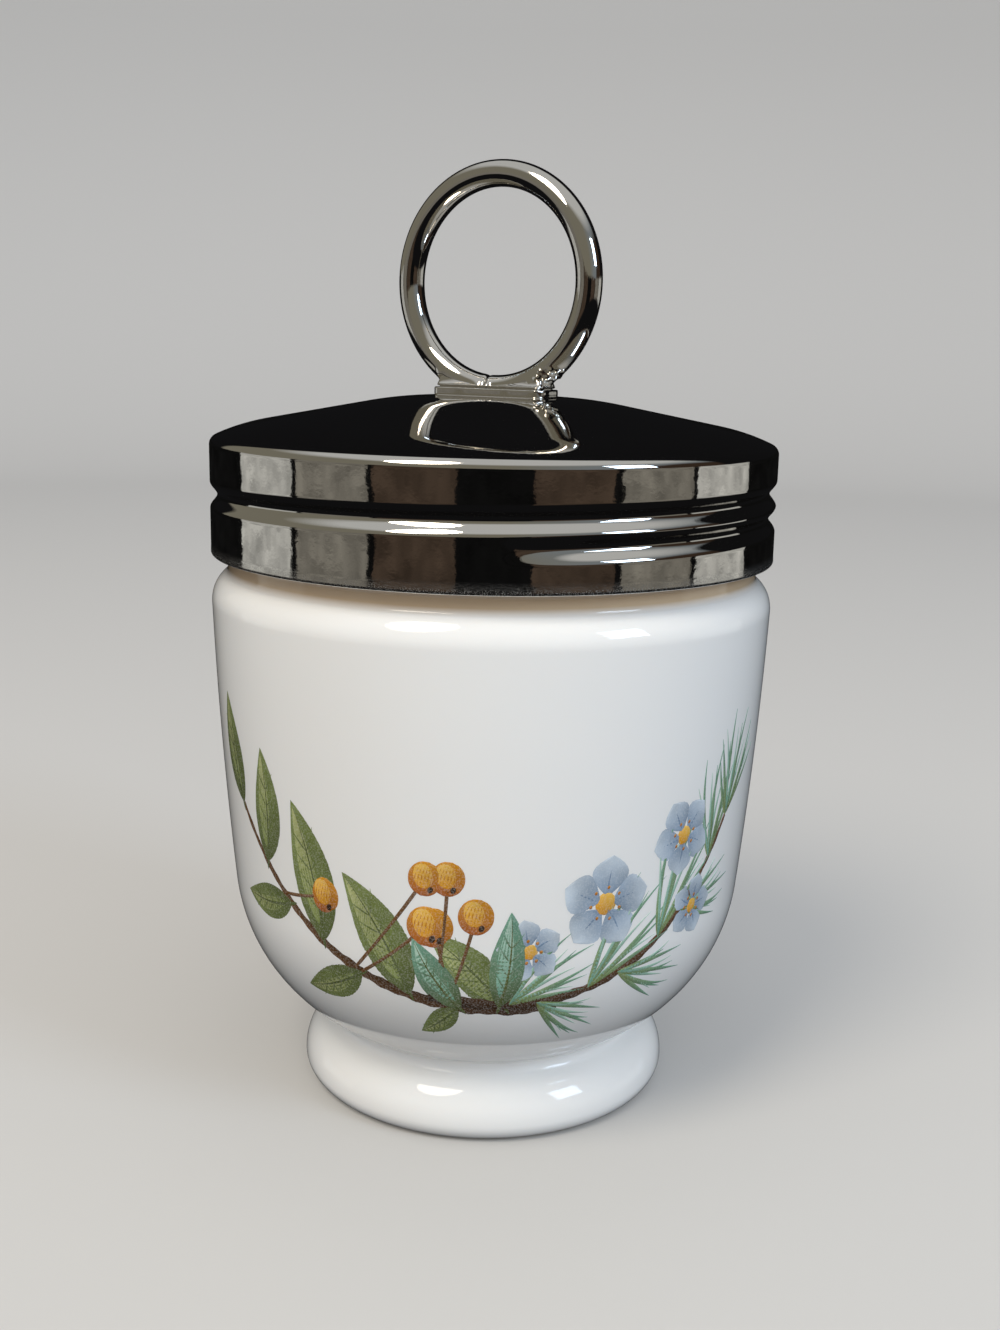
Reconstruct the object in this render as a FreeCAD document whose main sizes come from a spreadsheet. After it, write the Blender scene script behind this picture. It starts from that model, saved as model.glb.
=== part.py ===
"""Porcelain egg coddler: a footed porcelain cup closed by a screw-on metal lid with a ring handle.

The cup stands on the origin with +Z up. Its profile is one sketch of tangent arcs, turned about Z.
The lid is a drawn sheet cap. A right-hand thread is rolled into its skirt, so the groove outside is a
ridge inside, and that ridge runs under a glazed ridge on the cup's neck. The ring is a loop of round
wire with a flat filed on its underside. It is brazed into a saddle on the crown, and a rivet with a
washer holds the saddle from inside the lid. The pieces are shown as assembled, with the lid screwed
down. Lengths are in millimetres and angles in degrees.
"""
import FreeCAD, Part
import math
import os
import Sketcher

# Each size: the name it has in the sheet, its value, and what it measures.
SIZES = [
    ("outer_radius", 30.0, "radius of the bowl's shoulder and of the lid's skirt, which stand flush"),
    # cup, foot
    ("foot_radius", 20.45, "widest radius of the foot"),
    ("foot_edge", 2.0, "rounding of the foot's lower edge"),
    ("foot_roll", 5.0, "radius of the foot's rolled outer face"),
    ("foot_ring_width", 2.85, "width of the flat ring that the cup stands on"),
    ("recess_depth", 5.2, "height of the hollow under the cup"),
    ("recess_round", 3.0, "rounding of that hollow"),
    ("waist_depth", 3.1, "how far the waist between foot and bowl stands back from the foot"),
    ("cove_radius", 0.95, "radius of the hollow between foot and bowl"),
    # cup, bowl
    ("shoulder_height", 54.3, "height where the bowl is widest"),
    ("belly_radius", 20.4, "radius of the bowl's rounded bottom"),
    ("wall_bow", 200.0, "radius of the slight bow of the bowl's side"),
    ("wall", 3.2, "thickness of the bowl's side"),
    ("shoulder_round", 3.0, "rounding of the shoulder"),
    # cup, neck
    ("neck_clearance", 0.45, "gap between the neck and the ridge inside the lid"),
    ("neck_wall", 2.5, "thickness of the neck"),
    ("throat_rise", 4.2, "height over which the inside narrows from bowl to neck"),
    ("ridge_clearance", 0.25, "gap between the neck's glazed thread ridge and the skirt's inside"),
    ("ridge_half_width", 1.0, "half the width of that ridge at its root"),
    ("ridge_turns", 1.25, "length of that ridge"),
    ("ridge_lead", 60.0, "angle from the start of the lid's groove to the start of the ridge"),
    ("ridge_offset", 1.2, "how far the cup's ridge lies above the lid's ridge"),
    # lid
    ("lid_standoff", 5.0, "height of the screwed-down lid's lower edge above the bowl's widest place"),
    ("skirt_margin", 1.85, "plain part of the skirt between thread and corner"),
    ("corner_radius", 1.0, "outer rounding between skirt and crown"),
    ("crown_fall", 24.55, "angle at which the crown meets that rounding"),
    ("crown_turn", 20.7, "outer radius of the crown's rim, where it turns down to the corner"),
    ("crown_slope", 10.8, "angle of the crown's plain cone"),
    ("crown_bow", 40.5, "outer radius of the bend between that cone and the flat middle"),
    ("crown_flat", 6.0, "radius of the crown's flat middle"),
    ("sheet", 0.5, "thickness of the lid's metal"),
    ("hem_height", 0.9, "height over which the lower edge flares"),
    ("hem_flare", 0.2, "how far the lower edge flares"),
    ("rim_gap", 0.35, "gap between the cup's rim and the crown's inside"),
    # thread rolled into the lid
    ("thread_pitch", 2.6, "rise of the thread in one turn"),
    ("thread_turns", 1.5, "length of the rolled groove"),
    ("groove_start", 4.1, "height of the groove's start above the lid's lower edge"),
    ("groove_angle", -90.0, "angle about Z of the groove's start"),
    ("groove_depth", 0.75, "depth of the rolled groove"),
    ("groove_half_width", 1.4, "half the width of the rolled groove"),
    ("runout", 20.0, "angle over which a groove or a ridge fades at each end"),
    # handle
    ("handle_turn", 32.0, "angle by which the ring is turned, clockwise from above, away from X"),
    ("ring_radius", 10.91, "radius of the ring's centre line"),
    ("wire_radius", 1.375, "radius of the ring's wire"),
    ("filed_depth", 1.385, "depth of the flat filed on the ring's underside"),
    ("butt_gap", 0.8, "angle left open between the wire's two ends"),
    ("saddle_length", 13.5, "length of the saddle along the ring"),
    ("cheek_wall", 0.825, "thickness of the saddle each side of the wire"),
    ("saddle_round", 0.9, "corner rounding of the saddle's outline"),
    ("seat_rise", 0.85, "height of the saddle's lower step above the crown"),
    ("collar_height", 1.35, "height of the saddle's upper step, the cheeks beside the wire"),
    ("collar_inset", 0.15, "how far the upper step stands back from the lower one"),
    # fixing inside the lid
    ("rivet_radius", 1.2, "radius of the rivet's shank"),
    ("rivet_head_radius", 2.8, "radius of the rivet's head"),
    ("rivet_head_height", 1.1, "height of the rivet's head"),
    ("washer_radius", 4.5, "outer radius of the washer"),
    ("washer_height", 0.6, "thickness of the washer"),
    ("hole_clearance", 0.05, "radial clearance round the shank, and gap over washer and shank"),
]

Z_AXIS = FreeCAD.Vector(0, 0, 1)

# spacing of the control points of a threaded face, round the axis and up it
ANGLE_STEP = 10.0
ROW_STEP = 0.4

# formulas of the sheet's sizes: the lid's edge and thread, the neck, the crown's top, the washer's top,
# the flat that the ring stands on, the ring's centre above it and half the saddle's width
LID_EDGE = "(Sizes.shoulder_height + Sizes.lid_standoff)"
GROOVE = "(%s + Sizes.groove_start)" % LID_EDGE
THREAD_RISE = "Sizes.thread_pitch * Sizes.thread_turns"
NECK = "(Sizes.outer_radius - Sizes.sheet - Sizes.groove_depth - Sizes.neck_clearance)"
CROWN_TOP = "lid_profile.Constraints.crown_top / 1mm"
WASHER_TOP = (CROWN_TOP + " - Sizes.crown_bow + sqrt((Sizes.crown_bow - Sizes.sheet) ^ 2"
              " - max(0; Sizes.washer_radius - Sizes.crown_flat) ^ 2) - Sizes.hole_clearance")
SEAT = CROWN_TOP + " + Sizes.seat_rise"
RING_RISE = "(Sizes.ring_radius + Sizes.wire_radius - Sizes.filed_depth)"
SADDLE_HALF_WIDTH = "(Sizes.wire_radius + Sizes.cheek_wall)"

doc = FreeCAD.newDocument("EggCoddler")
sheet = doc.addObject("Spreadsheet::Sheet", "Sizes")
for row, (alias, value, note) in enumerate(SIZES, start=1):
    sheet.set("A%d" % row, alias)
    sheet.set("B%d" % row, str(value))
    sheet.set("C%d" % row, note)
    sheet.setAlias("B%d" % row, alias)
doc.recompute()


def size(alias):
    """Value of a named size."""
    return float(getattr(sheet, alias))


def neck_radius():
    """Radius of the neck between its thread ridges, a named clearance inside the lid's ridge."""
    return size("outer_radius") - size("sheet") - size("groove_depth") - size("neck_clearance")


def waist_radius():
    """Smallest radius, between foot and bowl."""
    return size("foot_radius") - size("waist_depth")


def foot_ring_inner():
    """Inner radius of the flat ring that the cup stands on."""
    return size("foot_radius") - size("foot_edge") - size("foot_ring_width")


def lid_edge():
    """Height of the lid's lower edge when it is screwed down."""
    return size("shoulder_height") + size("lid_standoff")


def groove_height():
    """Height of the rolled groove's start."""
    return lid_edge() + size("groove_start")


def thread_rise():
    """Height that the rolled groove climbs from its start to its end."""
    return size("thread_pitch") * size("thread_turns")


# ---------------------------------------------------------------- sketches

def body_sketch(body, name, role="XZ_Plane"):
    """New sketch on one of a body's own origin planes."""
    plane = [item for item in body.Origin.OriginFeatures if item.Role == role][0]
    sketch = body.newObject("Sketcher::SketchObject", name)
    sketch.AttachmentSupport = (plane, [""])
    sketch.MapMode = "FlatFace"
    return sketch


def add_line(sketch, start, end):
    """Line between two points of the sketch's plane. Returns its index."""
    return sketch.addGeometry(Part.LineSegment(FreeCAD.Vector(*start, 0), FreeCAD.Vector(*end, 0)), False)


def add_arc(sketch, centre, radius, low, high):
    """Arc that runs counterclockwise from angle low to angle high. Returns its index."""
    circle = Part.Circle(FreeCAD.Vector(*centre, 0), Z_AXIS, radius)
    return sketch.addGeometry(Part.ArcOfCircle(circle, math.radians(low), math.radians(high)), False)


def bind(sketch, expression, *rule):
    """Add a dimension that a formula of the sheet's sizes drives."""
    index = sketch.addConstraint(Sketcher.Constraint(*rule))
    sketch.setExpression("Constraints[%d]" % index, expression)


def place(sketch, item, point, across=None, up=None):
    """Fix a point's distance from the sketch's vertical and horizontal axes, as formulas."""
    where = sketch.getPoint(item, point)
    if across:
        bind(sketch, across, "DistanceX", -1, 1, item, point, where.x)
    if up:
        bind(sketch, up, "DistanceY", -1, 1, item, point, where.y)


def set_radius(sketch, arc, expression):
    """Drive an arc's radius."""
    bind(sketch, expression, "Radius", arc, sketch.Geometry[arc].Radius)


def join(sketch, first, first_end, second, second_end, smooth=False):
    """Make two ends meet, tangent if smooth."""
    kind = "Tangent" if smooth else "Coincident"
    sketch.addConstraint(Sketcher.Constraint(kind, first, first_end, second, second_end))


def straight(sketch, kind, *lines):
    """Hold lines Horizontal or Vertical."""
    for line in lines:
        sketch.addConstraint(Sketcher.Constraint(kind, line))


def angle_of(centre, point):
    """Angle of a point seen from a centre."""
    return math.degrees(math.atan2(point[1] - centre[1], point[0] - centre[0]))


def between(start, end, distance):
    """Point at a distance from start on the way to end."""
    length = math.hypot(end[0] - start[0], end[1] - start[1])
    share = distance / length
    return (start[0] + (end[0] - start[0]) * share, start[1] + (end[1] - start[1]) * share)


def crossing(centre_a, radius_a, centre_b, radius_b):
    """Right-hand crossing point of two circles, looking from centre a to centre b."""
    gap_x = centre_b[0] - centre_a[0]
    gap_y = centre_b[1] - centre_a[1]
    gap = math.hypot(gap_x, gap_y)
    along = (gap * gap + radius_a ** 2 - radius_b ** 2) / (2 * gap)
    aside = math.sqrt(radius_a ** 2 - along ** 2)
    return (centre_a[0] + (along * gap_x + aside * gap_y) / gap,
            centre_a[1] + (along * gap_y - aside * gap_x) / gap)


def revolve(body, sketch, name):
    """Turn a body's sketch about the Z axis."""
    feature = body.newObject("PartDesign::Revolution", name)
    feature.Profile = sketch
    feature.ReferenceAxis = (sketch, ["V_Axis"])
    feature.Angle = 360.0
    return feature


# ---------------------------------------------------------------- rolled and glazed thread

def thread_relief(angle, height, start_angle, start_height, turns, half_width):
    """Share of the full groove or ridge at one place of a skirt or neck, from 0 to 1."""
    relief = 0.0
    run = (angle - start_angle) % 360.0
    while run < turns * 360.0:
        nearest_end = min(run, turns * 360.0 - run)
        fade = 0.5 - 0.5 * math.cos(math.pi * min(1.0, nearest_end / size("runout")))
        offset = height - start_height - size("thread_pitch") * run / 360.0
        if abs(offset) < half_width:
            relief += fade * (0.5 + 0.5 * math.cos(math.pi * offset / half_width))
        run += 360.0
    return min(1.0, relief)


def thread_face(low, high, radius_at):
    """Smooth closed face round Z between two heights, whose radius is a function of angle and height.

    Control points stand on rings one ROW_STEP apart. The curve round the axis is of fifth degree, which
    keeps a plain ring a true circle, once the rings are widened by the amount that such a curve cuts in.
    """
    columns = int(round(360.0 / ANGLE_STEP))
    rows = int(math.ceil((high - low) / ROW_STEP))
    step = math.radians(ANGLE_STEP)
    widened = 120.0 / (66.0 + 52.0 * math.cos(step) + 2.0 * math.cos(2.0 * step))
    rings = []
    for column in range(columns):
        angle = ANGLE_STEP * (column - 2)
        turned = math.radians(angle)
        heights = [low + (high - low) * row / rows for row in range(rows + 1)]
        reach = [radius_at(angle, height) * widened for height in heights]
        rings.append([FreeCAD.Vector(radius * math.cos(turned), radius * math.sin(turned), height)
                      for radius, height in zip(reach, heights)])
    around = [1] * (columns + 1)
    upward = [4] + [1] * (rows - 3) + [4]
    surface = Part.BSplineSurface()
    surface.buildFromPolesMultsKnots(rings, around, upward, list(range(len(around))),
                                     list(range(len(upward))), True, False, 5, 3)
    return surface.toShape()


def closed_solid(faces):
    """Sew faces that share their edges into one solid."""
    sewn = Part.makeCompound(faces)
    sewn.sewShape()
    solid = Part.makeSolid(sewn.Shells[0])
    if solid.Volume < 0:
        solid.reverse()
    return solid


def ring_face(inner, outer, height):
    """Flat ring round Z."""
    centre = FreeCAD.Vector(0, 0, height)
    wires = [Part.Wire(Part.makeCircle(radius, centre, Z_AXIS)) for radius in (outer, inner)]
    return Part.makeFace(wires, "Part::FaceMakerBullseye")


# ---------------------------------------------------------------- porcelain cup

def cup_blank():
    """The turned cup: foot, cove, bowl, shoulder, plain neck and the inside, as one sketch."""
    body = doc.addObject("PartDesign::Body", "cup_blank")
    sketch = body_sketch(body, "cup_profile")
    foot = size("foot_radius")
    edge = size("foot_edge")
    cove = size("cove_radius")
    belly = size("belly_radius")
    bow = size("wall_bow")
    wall = size("wall")
    shoulder = size("shoulder_height")
    neck = neck_radius()
    neck_inner = neck - size("neck_wall")
    rim_half = size("neck_wall") / 2
    rim_centre = (neck - rim_half, rim_height() - rim_half)
    ring_inner = foot_ring_inner()
    recess = size("recess_depth")
    recess_round = size("recess_round")

    # centres of the tangent arcs, from the foot up
    edge_centre = (foot - edge, edge)
    roll_centre = (foot - size("foot_roll"), edge)
    cove_across = waist_radius() + cove
    reach = size("foot_roll") + cove
    cove_centre = (cove_across, edge + math.sqrt(reach ** 2 - (cove_across - roll_centre[0]) ** 2))
    wall_centre = (size("outer_radius") - bow, shoulder)
    belly_centre = crossing(cove_centre, belly + cove, wall_centre, bow - belly)
    shoulder_centre = (size("outer_radius") - size("shoulder_round"), shoulder)

    roll_end = between(roll_centre, cove_centre, size("foot_roll"))
    cove_end = between(cove_centre, belly_centre, cove)
    belly_angle = angle_of(wall_centre, belly_centre)
    shoulder_end_angle = math.degrees(math.acos((neck - shoulder_centre[0]) / size("shoulder_round")))
    shoulder_top = shoulder + size("shoulder_round") * math.sin(math.radians(shoulder_end_angle))
    floor = belly_centre[1] - belly + wall
    throat = shoulder + size("throat_rise")
    inner_top = (size("outer_radius") - wall, shoulder)

    stand = add_line(sketch, (ring_inner, 0), (edge_centre[0], 0))
    foot_edge = add_arc(sketch, edge_centre, edge, -90, 0)
    roll = add_arc(sketch, roll_centre, size("foot_roll"), 0, angle_of(roll_centre, roll_end))
    hollow = add_arc(sketch, cove_centre, cove, angle_of(cove_centre, cove_end) % 360,
                     angle_of(cove_centre, roll_end) % 360)
    under = add_arc(sketch, belly_centre, belly, angle_of(belly_centre, cove_end), belly_angle)
    side = add_arc(sketch, wall_centre, bow, belly_angle, 0)
    brow = add_arc(sketch, shoulder_centre, size("shoulder_round"), 0, shoulder_end_angle)
    neck_out = add_line(sketch, (neck, shoulder_top), (neck, rim_centre[1]))
    rim = add_arc(sketch, rim_centre, rim_half, 0, 180)
    neck_in = add_line(sketch, (neck_inner, rim_centre[1]), (neck_inner, throat))
    throat_line = add_line(sketch, (neck_inner, throat), inner_top)
    side_in = add_arc(sketch, wall_centre, bow - wall, belly_angle, 0)
    under_in = add_arc(sketch, belly_centre, belly - wall, -90, belly_angle)
    floor_line = add_line(sketch, (belly_centre[0], floor), (0, floor))
    axis_line = add_line(sketch, (0, floor), (0, recess))
    recess_top = add_line(sketch, (0, recess), (ring_inner - recess_round, recess))
    recess_arc = add_arc(sketch, (ring_inner - recess_round, recess - recess_round), recess_round, 0, 90)
    recess_side = add_line(sketch, (ring_inner, recess - recess_round), (ring_inner, 0))

    join(sketch, stand, 2, foot_edge, 1, smooth=True)
    join(sketch, foot_edge, 2, roll, 1, smooth=True)
    join(sketch, roll, 2, hollow, 2, smooth=True)
    join(sketch, hollow, 1, under, 1, smooth=True)
    join(sketch, under, 2, side, 1, smooth=True)
    join(sketch, side, 2, brow, 1, smooth=True)
    join(sketch, brow, 2, neck_out, 1)
    join(sketch, neck_out, 2, rim, 1, smooth=True)
    join(sketch, rim, 2, neck_in, 1, smooth=True)
    join(sketch, neck_in, 2, throat_line, 1)
    join(sketch, throat_line, 2, side_in, 2)
    join(sketch, side_in, 1, under_in, 2, smooth=True)
    join(sketch, under_in, 1, floor_line, 1, smooth=True)
    join(sketch, floor_line, 2, axis_line, 1)
    join(sketch, axis_line, 2, recess_top, 1)
    join(sketch, recess_top, 2, recess_arc, 2, smooth=True)
    join(sketch, recess_arc, 1, recess_side, 1, smooth=True)
    join(sketch, recess_side, 2, stand, 1)
    straight(sketch, "Horizontal", stand, floor_line, recess_top)
    straight(sketch, "Vertical", neck_out, neck_in, axis_line, recess_side)
    sketch.addConstraint(Sketcher.Constraint("PointOnObject", stand, 1, -1))
    sketch.addConstraint(Sketcher.Constraint("PointOnObject", axis_line, 1, -2))
    join(sketch, side, 3, side_in, 3)
    join(sketch, under, 3, under_in, 3)

    place(sketch, stand, 1, across="Sizes.foot_radius - Sizes.foot_edge - Sizes.foot_ring_width")
    place(sketch, foot_edge, 2, across="Sizes.foot_radius", up="Sizes.foot_edge")
    set_radius(sketch, foot_edge, "Sizes.foot_edge")
    set_radius(sketch, roll, "Sizes.foot_roll")
    set_radius(sketch, hollow, "Sizes.cove_radius")
    place(sketch, hollow, 3, across="Sizes.foot_radius - Sizes.waist_depth + Sizes.cove_radius")
    set_radius(sketch, under, "Sizes.belly_radius")
    set_radius(sketch, side, "Sizes.wall_bow")
    place(sketch, side, 2, across="Sizes.outer_radius", up="Sizes.shoulder_height")
    place(sketch, side, 3, up="Sizes.shoulder_height")
    set_radius(sketch, brow, "Sizes.shoulder_round")
    place(sketch, neck_out, 1, across=NECK)
    place(sketch, rim, 2, across=NECK + " - Sizes.neck_wall")
    place(sketch, rim, 3,
          up="lid_profile.Constraints.crown_over_rim / 1mm - Sizes.rim_gap - Sizes.neck_wall / 2")
    place(sketch, neck_in, 2, up="Sizes.shoulder_height + Sizes.throat_rise")
    place(sketch, side_in, 2, across="Sizes.outer_radius - Sizes.wall", up="Sizes.shoulder_height")
    place(sketch, recess_top, 1, up="Sizes.recess_depth")
    set_radius(sketch, recess_arc, "Sizes.recess_round")
    revolve(body, sketch, "cup_turned")
    return body


def crown_points():
    """Centres of the corner, of the crown's rim and of the bend round its flat, tangent in one line."""
    slope = math.radians(size("crown_slope"))
    fall = math.radians(size("crown_fall"))
    turn = size("crown_turn")
    bow = size("crown_bow")
    corner = (size("outer_radius") - size("corner_radius"),
              groove_height() + thread_rise() + size("groove_half_width") + size("skirt_margin"))
    inset = turn - size("corner_radius")
    rim = (corner[0] - inset * math.sin(fall), corner[1] - inset * math.cos(fall))
    cone_run = rim[0] + turn * math.sin(slope) - size("crown_flat") - bow * math.sin(slope)
    cone_top = rim[1] + turn * math.cos(slope) + cone_run * math.tan(slope)
    bend = (size("crown_flat"), cone_top - bow * math.cos(slope))
    return corner, rim, bend


def crown_top():
    """Height of the crown's flat middle."""
    return crown_points()[2][1] + size("crown_bow")


def rim_height():
    """Top of the cup, a named gap below the crown's inside over the middle of the rim."""
    turn = crown_points()[1]
    across = neck_radius() - size("neck_wall") / 2 - turn[0]
    return turn[1] + math.sqrt((size("crown_turn") - size("sheet")) ** 2 - across ** 2) - size("rim_gap")


def neck_thread():
    """Band in the neck's wall with the glazed ridge. Away from the ridge it lies just inside the wall."""
    sink = 0.3
    neck = neck_radius()
    crest = size("outer_radius") - size("sheet") - size("ridge_clearance")
    half_width = size("ridge_half_width")
    start_height = groove_height() + size("ridge_offset") + size("thread_pitch") * size("ridge_lead") / 360.0
    start_angle = size("groove_angle") + size("ridge_lead")
    low = start_height - half_width - ROW_STEP
    high = start_height + size("thread_pitch") * size("ridge_turns") + half_width + ROW_STEP

    def radius_at(angle, height):
        relief = thread_relief(angle, height, start_angle, start_height, size("ridge_turns"), half_width)
        return neck - sink + (sink + crest - neck) * relief

    inner = neck - size("neck_wall") / 2
    core = Part.makeCylinder(inner, high - low, FreeCAD.Vector(0, 0, low), Z_AXIS)
    inner_wall = [face for face in core.Faces if isinstance(face.Surface, Part.Cylinder)]
    band = doc.addObject("Part::Feature", "neck_thread")
    band.Shape = closed_solid([thread_face(low, high, radius_at), ring_face(inner, neck - sink, low),
                               ring_face(inner, neck - sink, high)] + inner_wall)
    return band


def make_cup():
    """Cup of one piece of porcelain: the turned form with its thread ridge."""
    cup = doc.addObject("Part::Fuse", "cup")
    cup.Base = cup_blank()
    cup.Tool = neck_thread()
    return cup


# ---------------------------------------------------------------- sheet metal lid

def lid_blank():
    """The drawn cap before its thread is rolled: flared hem, plain skirt, rounded corner and crown."""
    body = doc.addObject("PartDesign::Body", "lid_blank")
    sketch = body_sketch(body, "lid_profile")
    outer = size("outer_radius")
    sheet_metal = size("sheet")
    inner = outer - sheet_metal
    base = lid_edge()
    corner = size("corner_radius")
    turn = size("crown_turn")
    bow = size("crown_bow")
    hole = size("rivet_radius") + size("hole_clearance")
    low, high = thread_zone()
    corner_centre, turn_centre, bend_centre = crown_points()
    corner_angle = 90.0 - size("crown_fall")
    cone_angle = 90.0 - size("crown_slope")
    half = sheet_metal / 2
    hem_centre = (outer + size("hem_flare") - half, base + half)
    hem_top = base + size("hem_height")

    def on_arc(centre, radius, angle):
        turned = math.radians(angle)
        return (centre[0] + radius * math.cos(turned), centre[1] + radius * math.sin(turned))

    hem_out = add_line(sketch, (hem_centre[0] + half, hem_centre[1]), (outer, hem_top))
    skirt_low = add_line(sketch, (outer, hem_top), (outer, low))
    skirt_mid = add_line(sketch, (outer, low), (outer, high))
    skirt_top = add_line(sketch, (outer, high), (outer, corner_centre[1]))
    corner_out = add_arc(sketch, corner_centre, corner, 0, corner_angle)
    turn_out = add_arc(sketch, turn_centre, turn, corner_angle, cone_angle)
    cone_out = add_line(sketch, on_arc(turn_centre, turn, cone_angle), on_arc(bend_centre, bow, cone_angle))
    bend_out = add_arc(sketch, bend_centre, bow, cone_angle, 90)
    flat_out = add_line(sketch, (bend_centre[0], bend_centre[1] + bow), (hole, bend_centre[1] + bow))
    hole_wall = add_line(sketch, (hole, bend_centre[1] + bow), (hole, bend_centre[1] + bow - sheet_metal))
    flat_in = add_line(sketch, (hole, bend_centre[1] + bow - sheet_metal),
                       (bend_centre[0], bend_centre[1] + bow - sheet_metal))
    bend_in = add_arc(sketch, bend_centre, bow - sheet_metal, cone_angle, 90)
    cone_in = add_line(sketch, on_arc(bend_centre, bow - sheet_metal, cone_angle),
                       on_arc(turn_centre, turn - sheet_metal, cone_angle))
    turn_in = add_arc(sketch, turn_centre, turn - sheet_metal, corner_angle, cone_angle)
    corner_in = add_arc(sketch, corner_centre, corner - sheet_metal, 0, corner_angle)
    inner_top = add_line(sketch, (inner, corner_centre[1]), (inner, high))
    inner_mid = add_line(sketch, (inner, high), (inner, low))
    inner_low = add_line(sketch, (inner, low), (inner, hem_top))
    hem_in = add_line(sketch, (inner, hem_top), (hem_centre[0] - half, hem_centre[1]))
    hem_end = add_arc(sketch, hem_centre, half, 180, 360)

    join(sketch, hem_out, 2, skirt_low, 1)
    join(sketch, skirt_low, 2, skirt_mid, 1)
    join(sketch, skirt_mid, 2, skirt_top, 1)
    join(sketch, skirt_top, 2, corner_out, 1, smooth=True)
    join(sketch, corner_out, 2, turn_out, 1, smooth=True)
    join(sketch, turn_out, 2, cone_out, 1, smooth=True)
    join(sketch, cone_out, 2, bend_out, 1, smooth=True)
    join(sketch, bend_out, 2, flat_out, 1)
    join(sketch, flat_out, 2, hole_wall, 1)
    join(sketch, hole_wall, 2, flat_in, 1)
    join(sketch, flat_in, 2, bend_in, 2)
    join(sketch, bend_in, 1, cone_in, 1, smooth=True)
    join(sketch, cone_in, 2, turn_in, 2, smooth=True)
    join(sketch, turn_in, 1, corner_in, 2, smooth=True)
    join(sketch, corner_in, 1, inner_top, 1, smooth=True)
    join(sketch, inner_top, 2, inner_mid, 1)
    join(sketch, inner_mid, 2, inner_low, 1)
    join(sketch, inner_low, 2, hem_in, 1)
    join(sketch, hem_in, 2, hem_end, 1)
    join(sketch, hem_end, 2, hem_out, 1)
    straight(sketch, "Vertical", skirt_low, skirt_mid, skirt_top, hole_wall, inner_top, inner_mid, inner_low)
    straight(sketch, "Horizontal", flat_out, flat_in)
    join(sketch, corner_out, 3, corner_in, 3)
    join(sketch, turn_out, 3, turn_in, 3)
    join(sketch, bend_out, 3, bend_in, 3)
    sketch.addConstraint(Sketcher.Constraint("Parallel", cone_out, cone_in))

    place(sketch, skirt_low, 1, across="Sizes.outer_radius", up=LID_EDGE + " + Sizes.hem_height")
    thread_low = "%s - Sizes.groove_half_width - %s" % (GROOVE, ROW_STEP)
    thread_high = "%s + %s + Sizes.groove_half_width" % (GROOVE, THREAD_RISE)
    place(sketch, skirt_mid, 1, up=thread_low)
    place(sketch, skirt_mid, 2, up="%s + %s" % (thread_high, ROW_STEP))
    place(sketch, corner_out, 3, up=thread_high + " + Sizes.skirt_margin")
    set_radius(sketch, corner_out, "Sizes.corner_radius")
    set_radius(sketch, turn_out, "Sizes.crown_turn")
    inset = "(Sizes.crown_turn - Sizes.corner_radius) * sin(Sizes.crown_fall)"
    place(sketch, turn_out, 3, across="Sizes.outer_radius - Sizes.corner_radius - " + inset)
    set_radius(sketch, bend_out, "Sizes.crown_bow")
    place(sketch, bend_out, 1, across="Sizes.crown_flat + Sizes.crown_bow * sin(Sizes.crown_slope)")
    place(sketch, bend_out, 2, across="Sizes.crown_flat")
    place(sketch, bend_out, 3, across="Sizes.crown_flat")
    place(sketch, hole_wall, 1, across="Sizes.rivet_radius + Sizes.hole_clearance")
    place(sketch, bend_in, 2, across="Sizes.crown_flat")
    place(sketch, inner_mid, 1, across="Sizes.outer_radius - Sizes.sheet")
    place(sketch, inner_mid, 1, up="%s + %s" % (thread_high, ROW_STEP))
    place(sketch, inner_mid, 2, up=thread_low)
    place(sketch, hem_in, 1, up=LID_EDGE + " + Sizes.hem_height")
    place(sketch, hem_end, 3, across="Sizes.outer_radius + Sizes.hem_flare - Sizes.sheet / 2")
    place(sketch, hem_end, 3, up=LID_EDGE + " + Sizes.sheet / 2")
    sketch.addConstraint(Sketcher.Constraint("Horizontal", hem_end, 3, hem_end, 1))
    sketch.addConstraint(Sketcher.Constraint("Horizontal", hem_end, 3, hem_end, 2))
    set_radius(sketch, hem_end, "Sizes.sheet / 2")

    # heights that follow from the crown's form, for other pieces to read: its top, and its inside over
    # the middle of the cup's rim
    read_height(sketch, flat_out, 1, "crown_top")
    over_rim = FreeCAD.Vector(neck_radius() - size("neck_wall") / 2, rim_height() + size("rim_gap"), 0)
    seat_point = sketch.addGeometry(Part.Point(over_rim), True)
    sketch.addConstraint(Sketcher.Constraint("PointOnObject", seat_point, 1, turn_in))
    place(sketch, seat_point, 1, across=NECK + " - Sizes.neck_wall / 2")
    read_height(sketch, seat_point, 1, "crown_over_rim")
    turned = revolve(body, sketch, "lid_drawn")
    turned.Refine = False
    return body


def read_height(sketch, item, point, name):
    """Named dimension that measures a point's height and drives nothing."""
    height = sketch.getPoint(item, point).y
    index = sketch.addConstraint(Sketcher.Constraint("DistanceY", -1, 1, item, point, height))
    sketch.setDriving(index, False)
    sketch.renameConstraint(index, name)


def thread_zone():
    """Lowest and highest height that the rolled groove reaches, with a plain row each side."""
    reach = size("groove_half_width") + ROW_STEP
    return groove_height() - reach, groove_height() + thread_rise() + reach


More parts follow.
